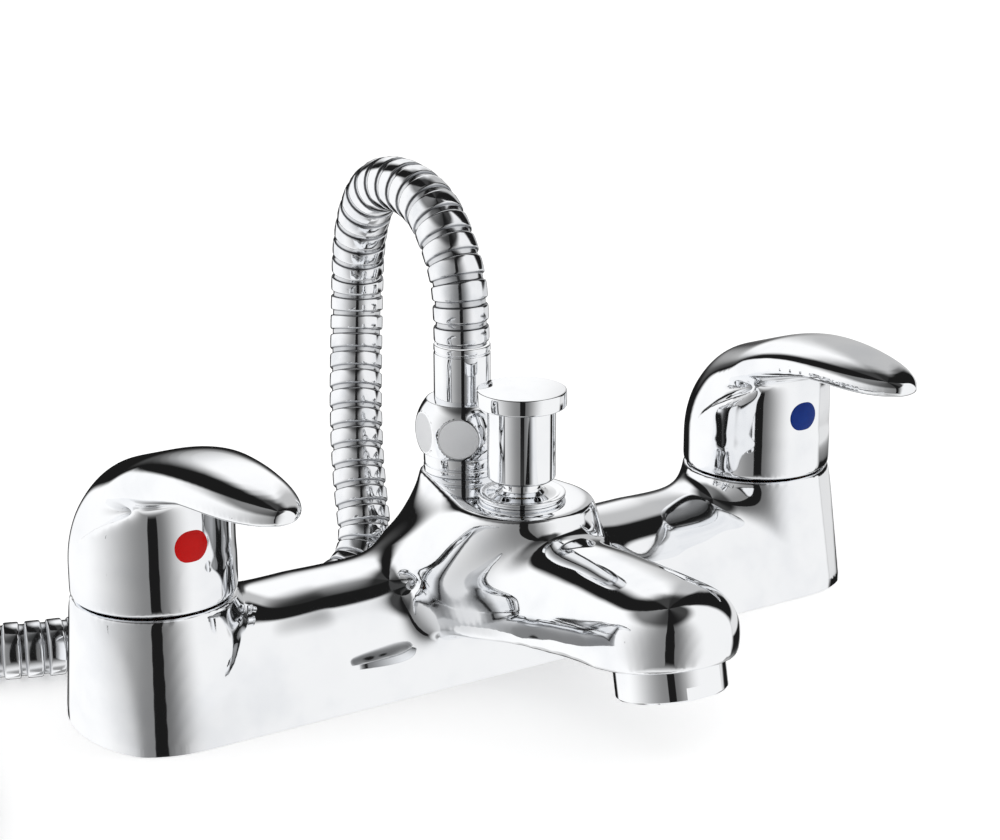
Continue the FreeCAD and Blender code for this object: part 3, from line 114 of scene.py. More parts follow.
def place_camera():
    data = bpy.data.cameras.new("camera")
    data.sensor_width = 36.0
    data.lens = data.sensor_width * FOCAL_LENGTH
    data.clip_start, data.clip_end = 0.01, 20.0
    camera = new_object("camera", data)
    camera.location = CAMERA_PLACE
    camera.rotation_mode = "QUATERNION"
    camera.rotation_quaternion = (-Vector(CAMERA_BACK).normalized()).to_track_quat("-Z", "Y")
    scene.camera = camera


def node_group(name, inputs, outputs):
    group = bpy.data.node_groups.new(name, "ShaderNodeTree")
    for label, kind, value in inputs:
        socket = group.interface.new_socket(label, in_out="INPUT", socket_type=kind)
        if value is not None:
            socket.default_value = value
    for label, kind in outputs:
        group.interface.new_socket(label, in_out="OUTPUT", socket_type=kind)
    tree = group.nodes
    return group, tree.new("NodeGroupInput"), tree.new("NodeGroupOutput")


def add(tree, kind, inputs=None, **settings):
    node = tree.nodes.new(kind)
    for key, value in settings.items():
        setattr(node, key, value)
    for key, value in (inputs or {}).items():
        if hasattr(value, "is_linked"):
            tree.links.new(value, node.inputs[key])
        else:
            node.inputs[key].default_value = value
    return node


def math_node(tree, operation, first, second=0.0, third=0.0, clamp=False):
    return add(tree, "ShaderNodeMath", {0: first, 1: second, 2: third},
               operation=operation, use_clamp=clamp).outputs[0]


def ease(tree, value, start, end, low=0.0, high=1.0):
    """A smooth step of value from low to high."""
    node = add(tree, "ShaderNodeMapRange", {"Value": value, "From Min": start, "From Max": end,
                                            "To Min": low, "To Max": high})
    node.interpolation_type = "SMOOTHSTEP"
    return node.outputs[0]


def colour_mix(tree, factor, first, second, blend="MIX"):
    node = add(tree, "ShaderNodeMix", data_type="RGBA", blend_type=blend)
    for key, value in ((0, factor), (6, first), (7, second)):
        if hasattr(value, "is_linked"):
            tree.links.new(value, node.inputs[key])
        else:
            node.inputs[key].default_value = value
    return node.outputs[2]


def make_handling_group():
    """Faint wiping marks and water film: a mask, a roughness and a height."""
    group, source, sink = node_group(
        "handling_marks",
        [("Scale", "NodeSocketFloat", 60.0), ("Roughness", "NodeSocketFloat", 0.05),
         ("Spread", "NodeSocketFloat", 0.03)],
        [("Mask", "NodeSocketFloat"), ("Roughness", "NodeSocketFloat"),
         ("Height", "NodeSocketFloat")])
    place = add(group, "ShaderNodeTexCoord").outputs["Object"]
    broad = add(group, "ShaderNodeTexNoise", {"Vector": place, "Scale": source.outputs["Scale"],
                                              "Detail": 3.0, "Roughness": 0.55})
    fine_scale = math_node(group, "MULTIPLY", source.outputs["Scale"], 14.0)
    fine = add(group, "ShaderNodeTexNoise", {"Vector": place, "Scale": fine_scale,
                                             "Detail": 2.0, "Roughness": 0.5})
    mask = ease(group, broad.outputs["Fac"], 0.42, 0.72)
    group.links.new(mask, sink.inputs["Mask"])
    spread = math_node(group, "MULTIPLY", mask, source.outputs["Spread"])
    rough = math_node(group, "ADD", source.outputs["Roughness"], spread)
    group.links.new(rough, sink.inputs["Roughness"])
    group.links.new(fine.outputs["Fac"], sink.inputs["Height"])
    return group


def make_grain_group():
    """Grain of a moulded or cut surface: a light and dark mask and a height."""
    group, source, sink = node_group(
        "surface_grain",
        [("Scale", "NodeSocketFloat", 400.0), ("Contrast", "NodeSocketFloat", 0.5)],
        [("Mask", "NodeSocketFloat"), ("Height", "NodeSocketFloat")])
    place = add(group, "ShaderNodeTexCoord").outputs["Object"]
    speck = add(group, "ShaderNodeTexNoise", {"Vector": place, "Scale": source.outputs["Scale"],
                                              "Detail": 4.0, "Roughness": 0.6})
    centred = math_node(group, "SUBTRACT", speck.outputs["Fac"], 0.5)
    mask = math_node(group, "MULTIPLY_ADD", centred, source.outputs["Contrast"], 0.5, clamp=True)
    group.links.new(mask, sink.inputs["Mask"])
    group.links.new(speck.outputs["Fac"], sink.inputs["Height"])
    return group


def make_turning_group():
    """Fine rings left by a lathe on parts that stand upright."""
    group, source, sink = node_group(
        "lathe_rings",
        [("Scale", "NodeSocketFloat", 900.0), ("Contrast", "NodeSocketFloat", 0.5)],
        [("Mask", "NodeSocketFloat"), ("Height", "NodeSocketFloat")])
    place = add(group, "ShaderNodeTexCoord").outputs["Object"]
    rings = add(group, "ShaderNodeTexWave", {"Vector": place, "Scale": source.outputs["Scale"],
                                             "Distortion": 1.5, "Detail": 2.0},
                wave_type="BANDS", bands_direction="Z")
    centred = math_node(group, "SUBTRACT", rings.outputs["Fac"], 0.5)
    mask = math_node(group, "MULTIPLY_ADD", centred, source.outputs["Contrast"], 0.5, clamp=True)
    group.links.new(mask, sink.inputs["Mask"])
    group.links.new(rings.outputs["Fac"], sink.inputs["Height"])
    return group


handling_marks = make_handling_group()
surface_grain = make_grain_group()
lathe_rings = make_turning_group()


def new_material(name, **sockets):
    material = bpy.data.materials.new(name)
    material.use_nodes = True
    tree = material.node_tree
    shader = tree.nodes["Principled BSDF"]
    for key, value in sockets.items():
        shader.inputs[key.replace("_", " ")].default_value = value
    return material, tree, shader


def place_group(tree, group, **values):
    node = add(tree, "ShaderNodeGroup")
    node.node_tree = group
    for key, value in values.items():
        node.inputs[key].default_value = value
    return node


def bump(tree, shader, height, strength, distance):
    node = add(tree, "ShaderNodeBump", {"Height": height, "Strength": strength,
                                        "Distance": distance})
    tree.links.new(node.outputs["Normal"], shader.inputs["Normal"])
    return node


def start_plate(name, **sockets):
    """Mirror plate with faint wiping marks, whose roughness is still to be linked."""
    material, tree, shader = new_material(name, **sockets)
    marks = place_group(tree, handling_marks, Scale=55.0, Roughness=0.035, Spread=0.035)
    tint = colour_mix(tree, marks.outputs["Mask"], BRIGHT_PLATE, DIM_PLATE)
    tree.links.new(tint, shader.inputs["Base Color"])
    bump(tree, shader, marks.outputs["Height"], 0.04, 0.00002)
    return material, tree, shader, marks


def make_chrome():
    material, tree, shader, marks = start_plate("chrome_plate", Metallic=1.0)
    tree.links.new(marks.outputs["Roughness"], shader.inputs["Roughness"])
    return material


def make_nut_plate():
    """The same plate, rough and pale where the round flats are marked as satin."""
    material, tree, shader, marks = start_plate("nut_plate")
    satin = add(tree, "ShaderNodeAttribute", attribute_name="satin").outputs["Fac"]
    rough = math_node(tree, "MULTIPLY_ADD", satin, 0.40, marks.outputs["Roughness"])
    tree.links.new(rough, shader.inputs["Roughness"])
    plate = math_node(tree, "MULTIPLY_ADD", satin, -0.75, 1.0)
    tree.links.new(plate, shader.inputs["Metallic"])
    return material


def make_hose_metal():
    """Polished band of the hose, with painted shade darkening its grooves."""
    material, tree, shader = new_material("hose_band_metal", Metallic=1.0)
    groove_shade = add(tree, "ShaderNodeAttribute", attribute_name="groove_shade").outputs["Fac"]
    marks = place_group(tree, handling_marks, Scale=120.0, Roughness=0.07, Spread=0.07)
    bright = colour_mix(tree, marks.outputs["Mask"], (0.90, 0.91, 0.93, 1), (0.78, 0.80, 0.83, 1))
    # painted shade: the base colour goes dark at the rims and on the floor of each groove
    tint = colour_mix(tree, groove_shade, bright, (0.22, 0.23, 0.25, 1))
    tree.links.new(tint, shader.inputs["Base Color"])
    rough = math_node(tree, "MULTIPLY_ADD", groove_shade, 0.18, marks.outputs["Roughness"])
    tree.links.new(rough, shader.inputs["Roughness"])
    bump(tree, shader, marks.outputs["Height"], 0.06, 0.00003)
    return material


def make_turned_metal(name, light, dark, rough):
    """Machined metal with lathe rings."""
    material, tree, shader = new_material(name, Metallic=1.0)
    rings = place_group(tree, lathe_rings, Scale=500.0, Contrast=0.8)
    tint = colour_mix(tree, rings.outputs["Mask"], dark, light)
    tree.links.new(tint, shader.inputs["Base Color"])
    roughness = math_node(tree, "MULTIPLY_ADD", rings.outputs["Mask"], 0.12, rough)
    tree.links.new(roughness, shader.inputs["Roughness"])
    bump(tree, shader, rings.outputs["Height"], 0.15, 0.00005)
    return material


def make_grained(name, light, dark, rough, scale, height, **sockets):
    """Plastic, rubber, fibre or ceramic with a fine grain."""
    material, tree, shader = new_material(name, **sockets)
    grain = place_group(tree, surface_grain, Scale=scale, Contrast=1.2)
    tint = colour_mix(tree, grain.outputs["Mask"], dark, light)
    tree.links.new(tint, shader.inputs["Base Color"])
    roughness = math_node(tree, "MULTIPLY_ADD", grain.outputs["Mask"], 0.10, rough)
    tree.links.new(roughness, shader.inputs["Roughness"])
    bump(tree, shader, grain.outputs["Height"], 0.2, height)
    return material


chrome = make_chrome()
nut_plate = make_nut_plate()
hose_metal = make_hose_metal()
brass = make_turned_metal("turned_brass", (0.78, 0.58, 0.28, 1), (0.62, 0.43, 0.18, 1), 0.22)
steel = make_turned_metal("plain_steel", (0.66, 0.67, 0.69, 1), (0.48, 0.49, 0.51, 1), 0.28)
rubber = make_grained("black_rubber", (0.055, 0.055, 0.058, 1), (0.025, 0.025, 0.027, 1),
                      0.62, 900.0, 0.00005)
ceramic = make_grained("lapped_ceramic", (0.94, 0.93, 0.89, 1), (0.87, 0.86, 0.81, 1),
                       0.12, 300.0, 0.00001)
fibre = make_grained("red_fibre", (0.52, 0.15, 0.11, 1), (0.34, 0.08, 0.06, 1),
                     0.75, 700.0, 0.0001)
white_plastic = make_grained("white_plastic", (0.84, 0.84, 0.83, 1), (0.76, 0.76, 0.75, 1),
                             0.38, 500.0, 0.00003)
red_enamel = make_grained("red_enamel", (0.70, 0.010, 0.008, 1), (0.54, 0.006, 0.006, 1),
                          0.16, 260.0, 0.00001, Specular_IOR_Level=0.12)
blue_enamel = make_grained("blue_enamel", (0.007, 0.045, 0.29, 1), (0.004, 0.022, 0.18, 1),
                           0.16, 260.0, 0.00001, Specular_IOR_Level=0.12)

FINISHES = {"chrome": chrome, "hose_metal": hose_metal, "brass": brass, "steel": steel,
            "seal_rubber": rubber, "ceramic": ceramic, "fibre": fibre,
            "white_plastic": white_plastic, "hot_mark": red_enamel, "cold_mark": blue_enamel}


def finish_nodes():
    """Every node that stays gets the material of its slot."""
    for row in frame["record"]["subparts"]:
        for slot in nodes[row["node"]].material_slots:
            slot.material = FINISHES[row["material_slot"]]


def coil_points():
    """Twelve points for each turn of the coil, a last bend inwards and a short straight end."""
    spot, heading = COIL_START.copy(), COIL_HEADING.normalized()
    half_turns = [(0.0890 - 0.0074 * i, 180, 0.0) for i in range(4)]
    last_bend = (0.042, 120, 3.1)
    step = 30
    points = []
    for radius, degrees, tilt in half_turns + [last_bend]:
        axis = Matrix.Rotation(math.radians(tilt), 3, heading) @ Vector((0, 0, 1))
        centre = spot + axis.cross(heading) * radius
        for i in range(degrees // step):
            turn = Matrix.Rotation(math.radians(step * i + step / 2), 3, axis)
            points.append(centre + (turn @ (spot - centre)) / math.cos(math.radians(step / 2)))
        turn = Matrix.Rotation(math.radians(degrees), 3, axis)
        spot, heading = centre + turn @ (spot - centre), turn @ heading
    points.append(spot + heading * HOSE_WIDE)
    return points, spot + heading * HOSE_WIDE, heading


def make_hose_line(points):
    data = bpy.data.curves.new("hose_line", "CURVE")
    data.dimensions = "3D"
    data.resolution_u = 24
    data.twist_mode = "MINIMUM"
    spline = data.splines.new("NURBS")
    spline.points.add(len(points) - 1)
    for knot, point in zip(spline.points, points):
        knot.co = (*point, 1.0)
    spline.order_u = 3
    spline.use_endpoint_u = True
    return new_object("hose_line", data)


def make_rib(pitch):
    """One rib and the groove after it, turned about the hose's own line.

    A row of the section holds the place along, the radius, both in mm, and the painted shade of
    the groove, darkest at its rims.
    """
    section = [(0.00, 6.42, 1.0), (0.06, 6.80, 0.8), (0.22, 6.96, 0.1), (0.55, 7.02, 0.0),
               (1.90, 7.04, 0.0), (3.25, 7.02, 0.0), (3.62, 6.96, 0.1), (3.80, 6.80, 0.8),
               (3.86, 6.42, 1.0), (4.20, 6.38, 0.3), (5.00, 6.38, 0.3), (5.30, 6.42, 1.0)]
    bm = bmesh.new()
    groove_shade = bm.verts.layers.float.new("groove_shade")
    stretch = pitch / RIB_PITCH
    profile = []
    # painted shade: each row's darkness is kept on its ring and later darkens the hose's colour
    for along, radius, dark in section:
        profile.append(bm.verts.new((along / 1000 * stretch, 0, radius / 1000)))
        profile[-1][groove_shade] = dark
    rails = [bm.edges.new(pair) for pair in zip(profile, profile[1:])]
    bmesh.ops.spin(bm, geom=profile + rails, cent=(0, 0, 0), axis=(1, 0, 0), dvec=(0, 0, 0),
                   angle=math.tau, steps=30, use_merge=True)
    bmesh.ops.remove_doubles(bm, verts=bm.verts, dist=1e-6)
    bmesh.ops.recalc_face_normals(bm, faces=bm.faces)
    return make_mesh("hose_rib", bm)


def make_hose():
    points, tail, heading = coil_points()
    line = make_hose_line([Vector(p) for p in HOSE_RUN] + points)
    bare = bpy.data.meshes.new_from_object(line)
    path = [tuple(v.co) for v in bare.vertices]
    bpy.data.meshes.remove(bare)
    length = sum(math.dist(a, b) for a, b in zip(path, path[1:]))
    count = round(length / RIB_PITCH)
    hose = new_object("ribbed_hose", make_rib(length / count))
    hose.visible_glossy = False
    row = hose.modifiers.new("row", "ARRAY")
    row.use_relative_offset = False
    row.use_constant_offset = True
    row.constant_offset_displace = (length / count, 0, 0)
    row.count = count
    row.use_merge_vertices = True
    row.merge_threshold = 0.00001
    along = hose.modifiers.new("along", "CURVE")
    along.object = line
    mesh = finished(hose)
    bm = bmesh.new()
    bm.from_mesh(mesh)
    bmesh.ops.holes_fill(bm, edges=bm.edges, sides=0)
    bmesh.ops.recalc_face_normals(bm, faces=bm.faces)
    bm.to_mesh(mesh)
    bm.free()
    mesh.shade_smooth()
    bpy.data.objects.remove(line)
    give(hose, "body", hose_metal, "hose_metal", "shower_hose", "hose_coil")
    return hose, path, tail, heading


def turned(name, corners, steps=128):
    """A closed section in millimetres, with a rounding at each corner, turned about Z."""
    bm = bmesh.new()
    points = [bm.verts.new((radius / 1000, 0, height / 1000)) for radius, height, _ in corners]
    for first, second in zip(points, points[1:]):
        bm.edges.new((first, second))
    if corners[0][0] > 0:
        bm.edges.new((points[-1], points[0]))
    for point, (_, _, rounding) in zip(points, corners):
        if rounding:
            bmesh.ops.bevel(bm, geom=[point], offset=rounding / 1000, segments=5, profile=0.5,
                            affect="VERTICES", material=-1)
    bmesh.ops.spin(bm, geom=bm.verts[:] + bm.edges[:], cent=(0, 0, 0), axis=(0, 0, 1),
                   dvec=(0, 0, 0), angle=math.tau, steps=steps, use_merge=True)
    bmesh.ops.remove_doubles(bm, verts=bm.verts, dist=1e-6)
    bmesh.ops.recalc_face_normals(bm, faces=bm.faces)
    return new_object(name, make_mesh(name, bm))


def crisp(piece, degrees=40):
    piece.data.shade_smooth()
    piece.data.set_sharp_from_angle(angle=math.radians(degrees))


def make_knob():
    knob = turned("diverter_pull", [
        (5.25, 48.8, 0.2), (8.4, 48.8, 0.9), (8.4, 67.4, 0.5), (11.05, 67.4, 0.5),
        (11.05, 71.5, 0.45), (0.0, 71.5, 0), (0.0, 65.3, 0), (2.45, 65.3, 0), (2.45, 57.2, 0),
        (5.25, 57.2, 0)])
    knob.data.transform(Matrix.Translation((0, KNOB_Y, 0)))
    crisp(knob)
    give(knob, "diverter", chrome, "chrome", "diverter_knob")


def make_bonnet():
    bonnet = turned("diverter_collar", [
        (3.05, 34.0, 0), (8.55, 34.0, 0.3), (8.55, 43.8, 0), (10.3, 43.8, 0.2), (10.3, 44.4, 0.1),
        (10.9, 44.65, 0.15), (10.9, 45.3, 0.25), (9.9, 45.3, 0.3), (8.9, 44.95, 0.4),
        (6.2, 45.3, 0.5), (4.75, 46.3, 0.4), (4.75, 48.2, 0.2), (3.05, 48.2, 0.1)])
    bonnet.data.transform(Matrix.Translation((0, KNOB_Y, 0)))
    crisp(bonnet)
    give(bonnet, "body", chrome, "chrome", "diverter_bonnet")


def make_nipple():
    nipple = turned("shower_outlet", [
        (6.0, 33.8, 0), (7.45, 33.8, 0.2), (7.45, 43.8, 0), (9.9, 43.8, 0.25), (9.9, 45.5, 0.25),
        (9.4, 45.75, 0.15), (9.9, 46.0, 0.25), (9.9, 48.7, 0.35), (9.3, 48.7, 0),
        (9.3, 56.0, 0.5), (6.0, 56.0, 0.2)])
    nipple.data.transform(Matrix.Translation((0, SHOWER_Y, 0)))
    crisp(nipple)
    give(nipple, "body", chrome, "chrome", "shower_nipple")


def make_ferrule():
    ferrule = turned("hose_sleeve", [
        (4.2, 57.0, 0), (9.2, 57.0, 0.1), (9.2, 58.4, 0.1), (6.9, 58.4, 0.1), (6.9, 60.7, 0),
        (7.2, 61.0, 0.15), (7.2, 74.4, 0.2), (6.85, 74.6, 0.1), (6.85, 74.9, 0.1),
        (7.2, 75.1, 0.2), (7.2, 76.7, 0.35), (6.25, 76.7, 0.1), (6.25, 61.5, 0),
        (4.2, 61.5, 0)])
    ferrule.data.transform(Matrix.Translation((0, SHOWER_Y, 0)))
    crisp(ferrule)
    return give(ferrule, "body", chrome, "chrome", "hose_ferrule")


def make_ball_nut():
    """A ball with six round satin flats, cut off above and below."""
    bm = bmesh.new()
    centre = Vector((0, SHOWER_Y, BALL_HEIGHT))
    bmesh.ops.create_uvsphere(bm, u_segments=120, v_segments=80, radius=BALL_RADIUS,
                              matrix=Matrix.Translation(centre))
    cuts = [((0, 0, 1), 0.0079), ((0, 0, -1), 0.0057)]
    for i in range(6):
        angle = math.radians(60 * i + 53)
        cuts.append(((math.cos(angle), math.sin(angle), 0), FLAT_REACH))
    for normal, reach in cuts:
        spot = centre + Vector(normal) * reach
        found = bmesh.ops.bisect_plane(bm, geom=bm.verts[:] + bm.edges[:] + bm.faces[:],
                                       plane_co=spot, plane_no=normal, clear_outer=True)
        rim = [e for e in found["geom_cut"] if isinstance(e, bmesh.types.BMEdge)]
        bmesh.ops.contextual_create(bm, geom=rim)
    edges = [e for e in bm.edges if len(e.link_faces) == 2 and e.calc_face_angle() > 0.25]
    bmesh.ops.bevel(bm, geom=edges, offset=0.00035, segments=3, profile=0.5, affect="EDGES",
                    material=-1)
    bmesh.ops.recalc_face_normals(bm, faces=bm.faces)
    satin = bm.verts.layers.float.new("satin")
    for face in bm.faces:
        if len(face.verts) > 20 and abs(face.normal.z) < 0.1:
            for vertex in face.verts:
                vertex[satin] = 1.0
    nut = new_object("ball_nut", make_mesh("ball_nut", bm))
    crisp(nut, 30)
    return give(nut, "body", nut_plate, "chrome", "hose_swivel_nut")


def make_hose_end(tail, heading):
    """The sleeve and the conical nut on the far end of the hose."""
    place = Matrix.Translation(tail) @ heading.to_track_quat("Z", "Y").to_matrix().to_4x4()
    sleeve = turned("hose_end_sleeve", [
        (4.2, 0.0, 0), (7.2, 0.0, 0.35), (7.2, 5.9, 0.3), (6.9, 5.9, 0), (6.9, 16.6, 0),
        (9.25, 16.6, 0.1), (9.25, 18.0, 0.1), (4.2, 18.0, 0)])
    nut = turned("handset_nut", [
        (6.95, 6.0, 0), (9.6, 6.0, 0.6), (11.9, 28.0, 0.5), (9.35, 28.0, 0.3), (9.35, 19.2, 0),
        (9.7, 19.2, 0), (9.7, 16.6, 0), (6.95, 16.6, 0)])
    for piece, node in ((sleeve, "hose_end_ferrule"), (nut, "hose_end_nut")):
        piece.data.transform(place)
        piece.visible_glossy = False
        crisp(piece)
        give(piece, "body", chrome, "chrome", node)
    return sleeve, nut


def facing(side, turn=LEVER_TURN):
    """The level direction at a tower that is turned inwards from the front by some degrees."""
    angle = math.radians(turn) * side
    return Vector((-math.sin(angle), -math.cos(angle), 0))


def make_index_disc(name, side, turn, height, node, body, material, slot):
    """The domed coloured disc in the front of a handle."""
    disc = turned(name, [(0.0, 0.0, 0), (4.2, 0.0, 0.1), (4.2, 1.3, 0.25), (3.6, 1.52, 0.5),
                         (1.9, 1.82, 0.9), (0.0, 1.9, 0)], steps=96)
    out = facing(side, turn)
    centre = Vector((side * TOWER_X, 0, height)) + out * DISC_DEPTH
    disc.data.transform(Matrix.Translation(centre) @ out.to_track_quat("Z", "Y").to_matrix()
                        .to_4x4())
    disc.data.shade_smooth()
    disc.visible_glossy = False
    give(disc, body, material, slot, node)


def slope(value, start, end):
    """A smooth step from 0 at start to 1 at end."""
    share = min(max((value - start) / (end - start), 0.0), 1.0)
    return share * share * (3 - 2 * share)


def window(value, start, end, soft):
    return slope(value, start, start + soft) * (1 - slope(value, end - soft, end))


def recast(name, node, voxel, *fillers):
    """An even skin over a merged copy of a node's mesh and any fillers, ready to be smoothed."""
    bm = bmesh.new()
    bm.from_mesh(nodes[node].data)
    bmesh.ops.remove_doubles(bm, verts=bm.verts, dist=0.000002)
    for filler in fillers:
        bm.from_mesh(filler)
    piece = new_object(name, make_mesh(name, bm))
    skin = piece.modifiers.new("skin", "REMESH")
    skin.mode = "VOXEL"
    skin.voxel_size = voxel
    skin.use_smooth_shade = True
    finished(piece, keep_layers=False)
    return piece


def soften(piece, name, rounds, weight):
    """Evens the skin, most where the weight of a place is 1."""
    group = piece.vertex_groups.new(name=name)
    for vertex in piece.data.vertices:
        share = weight(vertex.co)
        if share > 0.01:
            group.add([vertex.index], share, "REPLACE")
    smooth = piece.modifiers.new(name, "SMOOTH")
    smooth.factor = 0.5
    smooth.iterations = rounds
    smooth.vertex_group = name
    finished(piece)
    piece.vertex_groups.clear()


def make_hull(name, places):
    bm = bmesh.new()
    for place in places:
        bm.verts.new(place)
    bmesh.ops.remove_doubles(bm, verts=bm.verts, dist=0.00001)
    hull = bmesh.ops.convex_hull(bm, input=bm.verts)
    inner = [v for v in hull["geom_interior"] if isinstance(v, bmesh.types.BMVert)]
    bmesh.ops.delete(bm, geom=inner, context="VERTS")
    bmesh.ops.recalc_face_normals(bm, faces=bm.faces)
    return make_mesh(name, bm)


def square_foot(piece, height):
    """Cuts the soft lower edge away and takes the walls straight down to the deck."""
    bm = bmesh.new()
    bm.from_mesh(piece.data)
    cut = bmesh.ops.bisect_plane(bm, geom=bm.verts[:] + bm.edges[:] + bm.faces[:], dist=1e-7,
                                 plane_co=(0, 0, height), plane_no=(0, 0, -1),
                                 clear_outer=True)
    rim = [e for e in cut["geom_cut"] if isinstance(e, bmesh.types.BMEdge)]
    grown = bmesh.ops.extrude_edge_only(bm, edges=rim)["geom"]
    foot = {v for v in grown if isinstance(v, bmesh.types.BMVert)}
    for vertex in foot:
        vertex.co.z = 0.0
    outline = [e for e in bm.edges if e.verts[0] in foot and e.verts[1] in foot]
    for edge in outline:
        edge.smooth = False
    bmesh.ops.triangle_fill(bm, use_beauty=True, edges=outline, normal=(0, 0, -1))
    bmesh.ops.recalc_face_normals(bm, faces=bm.faces)
    bm.to_mesh(piece.data)
    bm.free()


def make_tap_body():
    spout_start, spout_swell = 0.0455, 0.0014
    spout = [v.co for v in nodes["body_casting"].data.vertices if v.co.y < -spout_start]
    piece = recast("tap_body", "body_casting", BODY_VOXEL, make_hull("spout_filler", spout))
    lean = math.radians(12.7)
    outlet = Vector((0, -0.0828, 0.0148))
    up_the_spout = Vector((0, math.sin(lean), math.cos(lean)))

    # a fuller spout, least at the rim of its head and not at all underneath
    outward = [vertex.normal.copy() for vertex in piece.data.vertices]
    for vertex, way in zip(piece.data.vertices, outward):
        low = 0.25 + 0.75 * slope((vertex.co - outlet).dot(up_the_spout), 0.0060, 0.0140)
        swell = spout_swell * slope(-vertex.co.y, 0.036, 0.056) * low
        vertex.co += way * swell * slope(way.z, -0.7, -0.1)

    def bored(co):
        if math.hypot(abs(co.x) - TOWER_X, co.y) < 0.0135:
            return True
        if math.hypot(co.x, co.y - KNOB_Y) < 0.0093 or math.hypot(co.x, co.y - SHOWER_Y) < 0.008:
            return co.z > 0.0165
        return False

    def even(co):
        if bored(co):
            return 0.05
        share = 0.5 + 0.5 * slope(co.z, 0.0005, 0.0035)
        if abs(co.x) > 0.066:
            share *= 0.2 + 0.8 * (1 - slope(co.z, 0.0285, 0.0312))
        share *= 0.2 + 0.8 * (1 - slope(co.z, 0.0415, 0.0435))
        reach = (co - outlet).dot(up_the_spout)
        if co.y < -0.065:
            share *= 0.1 + 0.9 * slope(reach, 0.0064, 0.0100)
        return share

    def joints(co):
        if bored(co):
            return 0.0
        middle = 1 - slope(abs(co.x), 0.040, 0.052)
        middle *= slope(co.z, 0.002, 0.010) * (1 - slope(co.z, 0.0385, 0.0430))
        return middle * slope(co.y, -0.076, -0.060)

    def inner_corners(co):
        if bored(co):
            return 0.0
        towers = window(abs(co.x), 0.050, 0.082, 0.009) * slope(co.z, 0.004, 0.014)
        return towers * (1 - slope(co.z, 0.0275, 0.0305))

    soften(piece, "even", 26, even)
    soften(piece, "joints", 170, joints)
    soften(piece, "inner_corners", 200, inner_corners)
    square_foot(piece, 0.0020)
    piece.data.shade_smooth()
    give(piece, "body", chrome, "chrome", "body_casting")
    return piece


def make_root_filler(node, side):
    """The hull of the dome's top and the lever's root, which makes one hood of the two."""
    out = facing(side)
    axis = Vector((side * TOWER_X, 0, 0))
    places = []
    for vertex in nodes[node].data.vertices:
        along = (vertex.co - axis).dot(out)
        if vertex.co.z > 0.0565 + 0.0085 * slope(along, 0.008, 0.019) and along < 0.036:
            places.append(vertex.co)
    return make_hull("root_filler", places)


def make_front_filler(side):
    """The upright front of the dome, up to the underside of the lever."""
    out = facing(side)
    foot, shoulder, arch = 0.040, 0.047, 0.0135
    places = []
    for degrees in range(-90, 91, 5):
        angle = math.radians(degrees)
        spot = Vector((side * TOWER_X, 0, 0)) + Matrix.Rotation(angle, 3, "Z") @ out * DOME_RADIUS
        top = shoulder + arch * max(math.cos(angle), 0) ** 0.8
        places += [spot + Vector((0, 0, height)) for height in (foot, top)]
    return make_hull("front_filler", places)


def make_handle(name, node, body, side):
    piece = recast(name, node, HANDLE_VOXEL, make_root_filler(node, side),
                   make_front_filler(side))

    def bored(co):
        return math.hypot(co.x - side * TOWER_X, co.y) < 0.0075 and co.z < 0.060

    def even(co):
        if bored(co):
            return 0.0
        return 0.12 + 0.88 * slope(co.z, 0.0325, 0.0360)

    def root(co):
        if bored(co):
            return 0.0
        return slope(co.z, 0.050, 0.056) * (1 - slope(-co.y, 0.026, 0.038))

    soften(piece, "even", 30, even)
    soften(piece, "root", 130, root)
    skirt_drop = 0.00035
    for vertex in piece.data.vertices:
        vertex.co.z -= skirt_drop * (1 - slope(vertex.co.z, 0.0326, 0.0350))
    piece.data.shade_smooth()
    give(piece, body, chrome, "chrome", node)
    return piece


def make_world():
    """White for the background, and a plain even light on everything else."""
    world = bpy.data.worlds.new("white_room")
    scene.world = world
    world.use_nodes = True
    tree = world.node_tree
    tree.nodes.clear()
    path = add(tree, "ShaderNodeLightPath")
    seen = math_node(tree, "MAXIMUM", path.outputs["Is Camera Ray"], path.outputs["Is Glossy Ray"])
    seen = math_node(tree, "MAXIMUM", seen, path.outputs["Is Transmission Ray"])
    strength = math_node(tree, "MULTIPLY_ADD", seen, 0.28, 0.72)
    shade = add(tree, "ShaderNodeBackground", {"Color": (1, 1, 1, 1), "Strength": strength})
    sink = add(tree, "ShaderNodeOutputWorld")
    tree.links.new(shade.outputs[0], sink.inputs["Surface"])


def make_floor():
    bm = bmesh.new()
    bmesh.ops.create_grid(bm, x_segments=1, y_segments=1, size=6.0,
                          matrix=Matrix.Translation((0, 0, -0.0002)))
    floor = new_object("floor", make_mesh("floor", bm))
    material, tree, shader = new_material("pale_floor", Roughness=0.9)
    shader.inputs["Base Color"].default_value = (0.97, 0.97, 0.97, 1)
    shader.inputs["Emission Color"].default_value = (1, 1, 1, 1)
    path = add(tree, "ShaderNodeLightPath")
    lift = math_node(tree, "MULTIPLY", path.outputs["Is Camera Ray"], 0.36)  # up to white
    tree.links.new(lift, shader.inputs["Emission Strength"])
    floor.data.materials.append(material)
    floor.visible_glossy = False


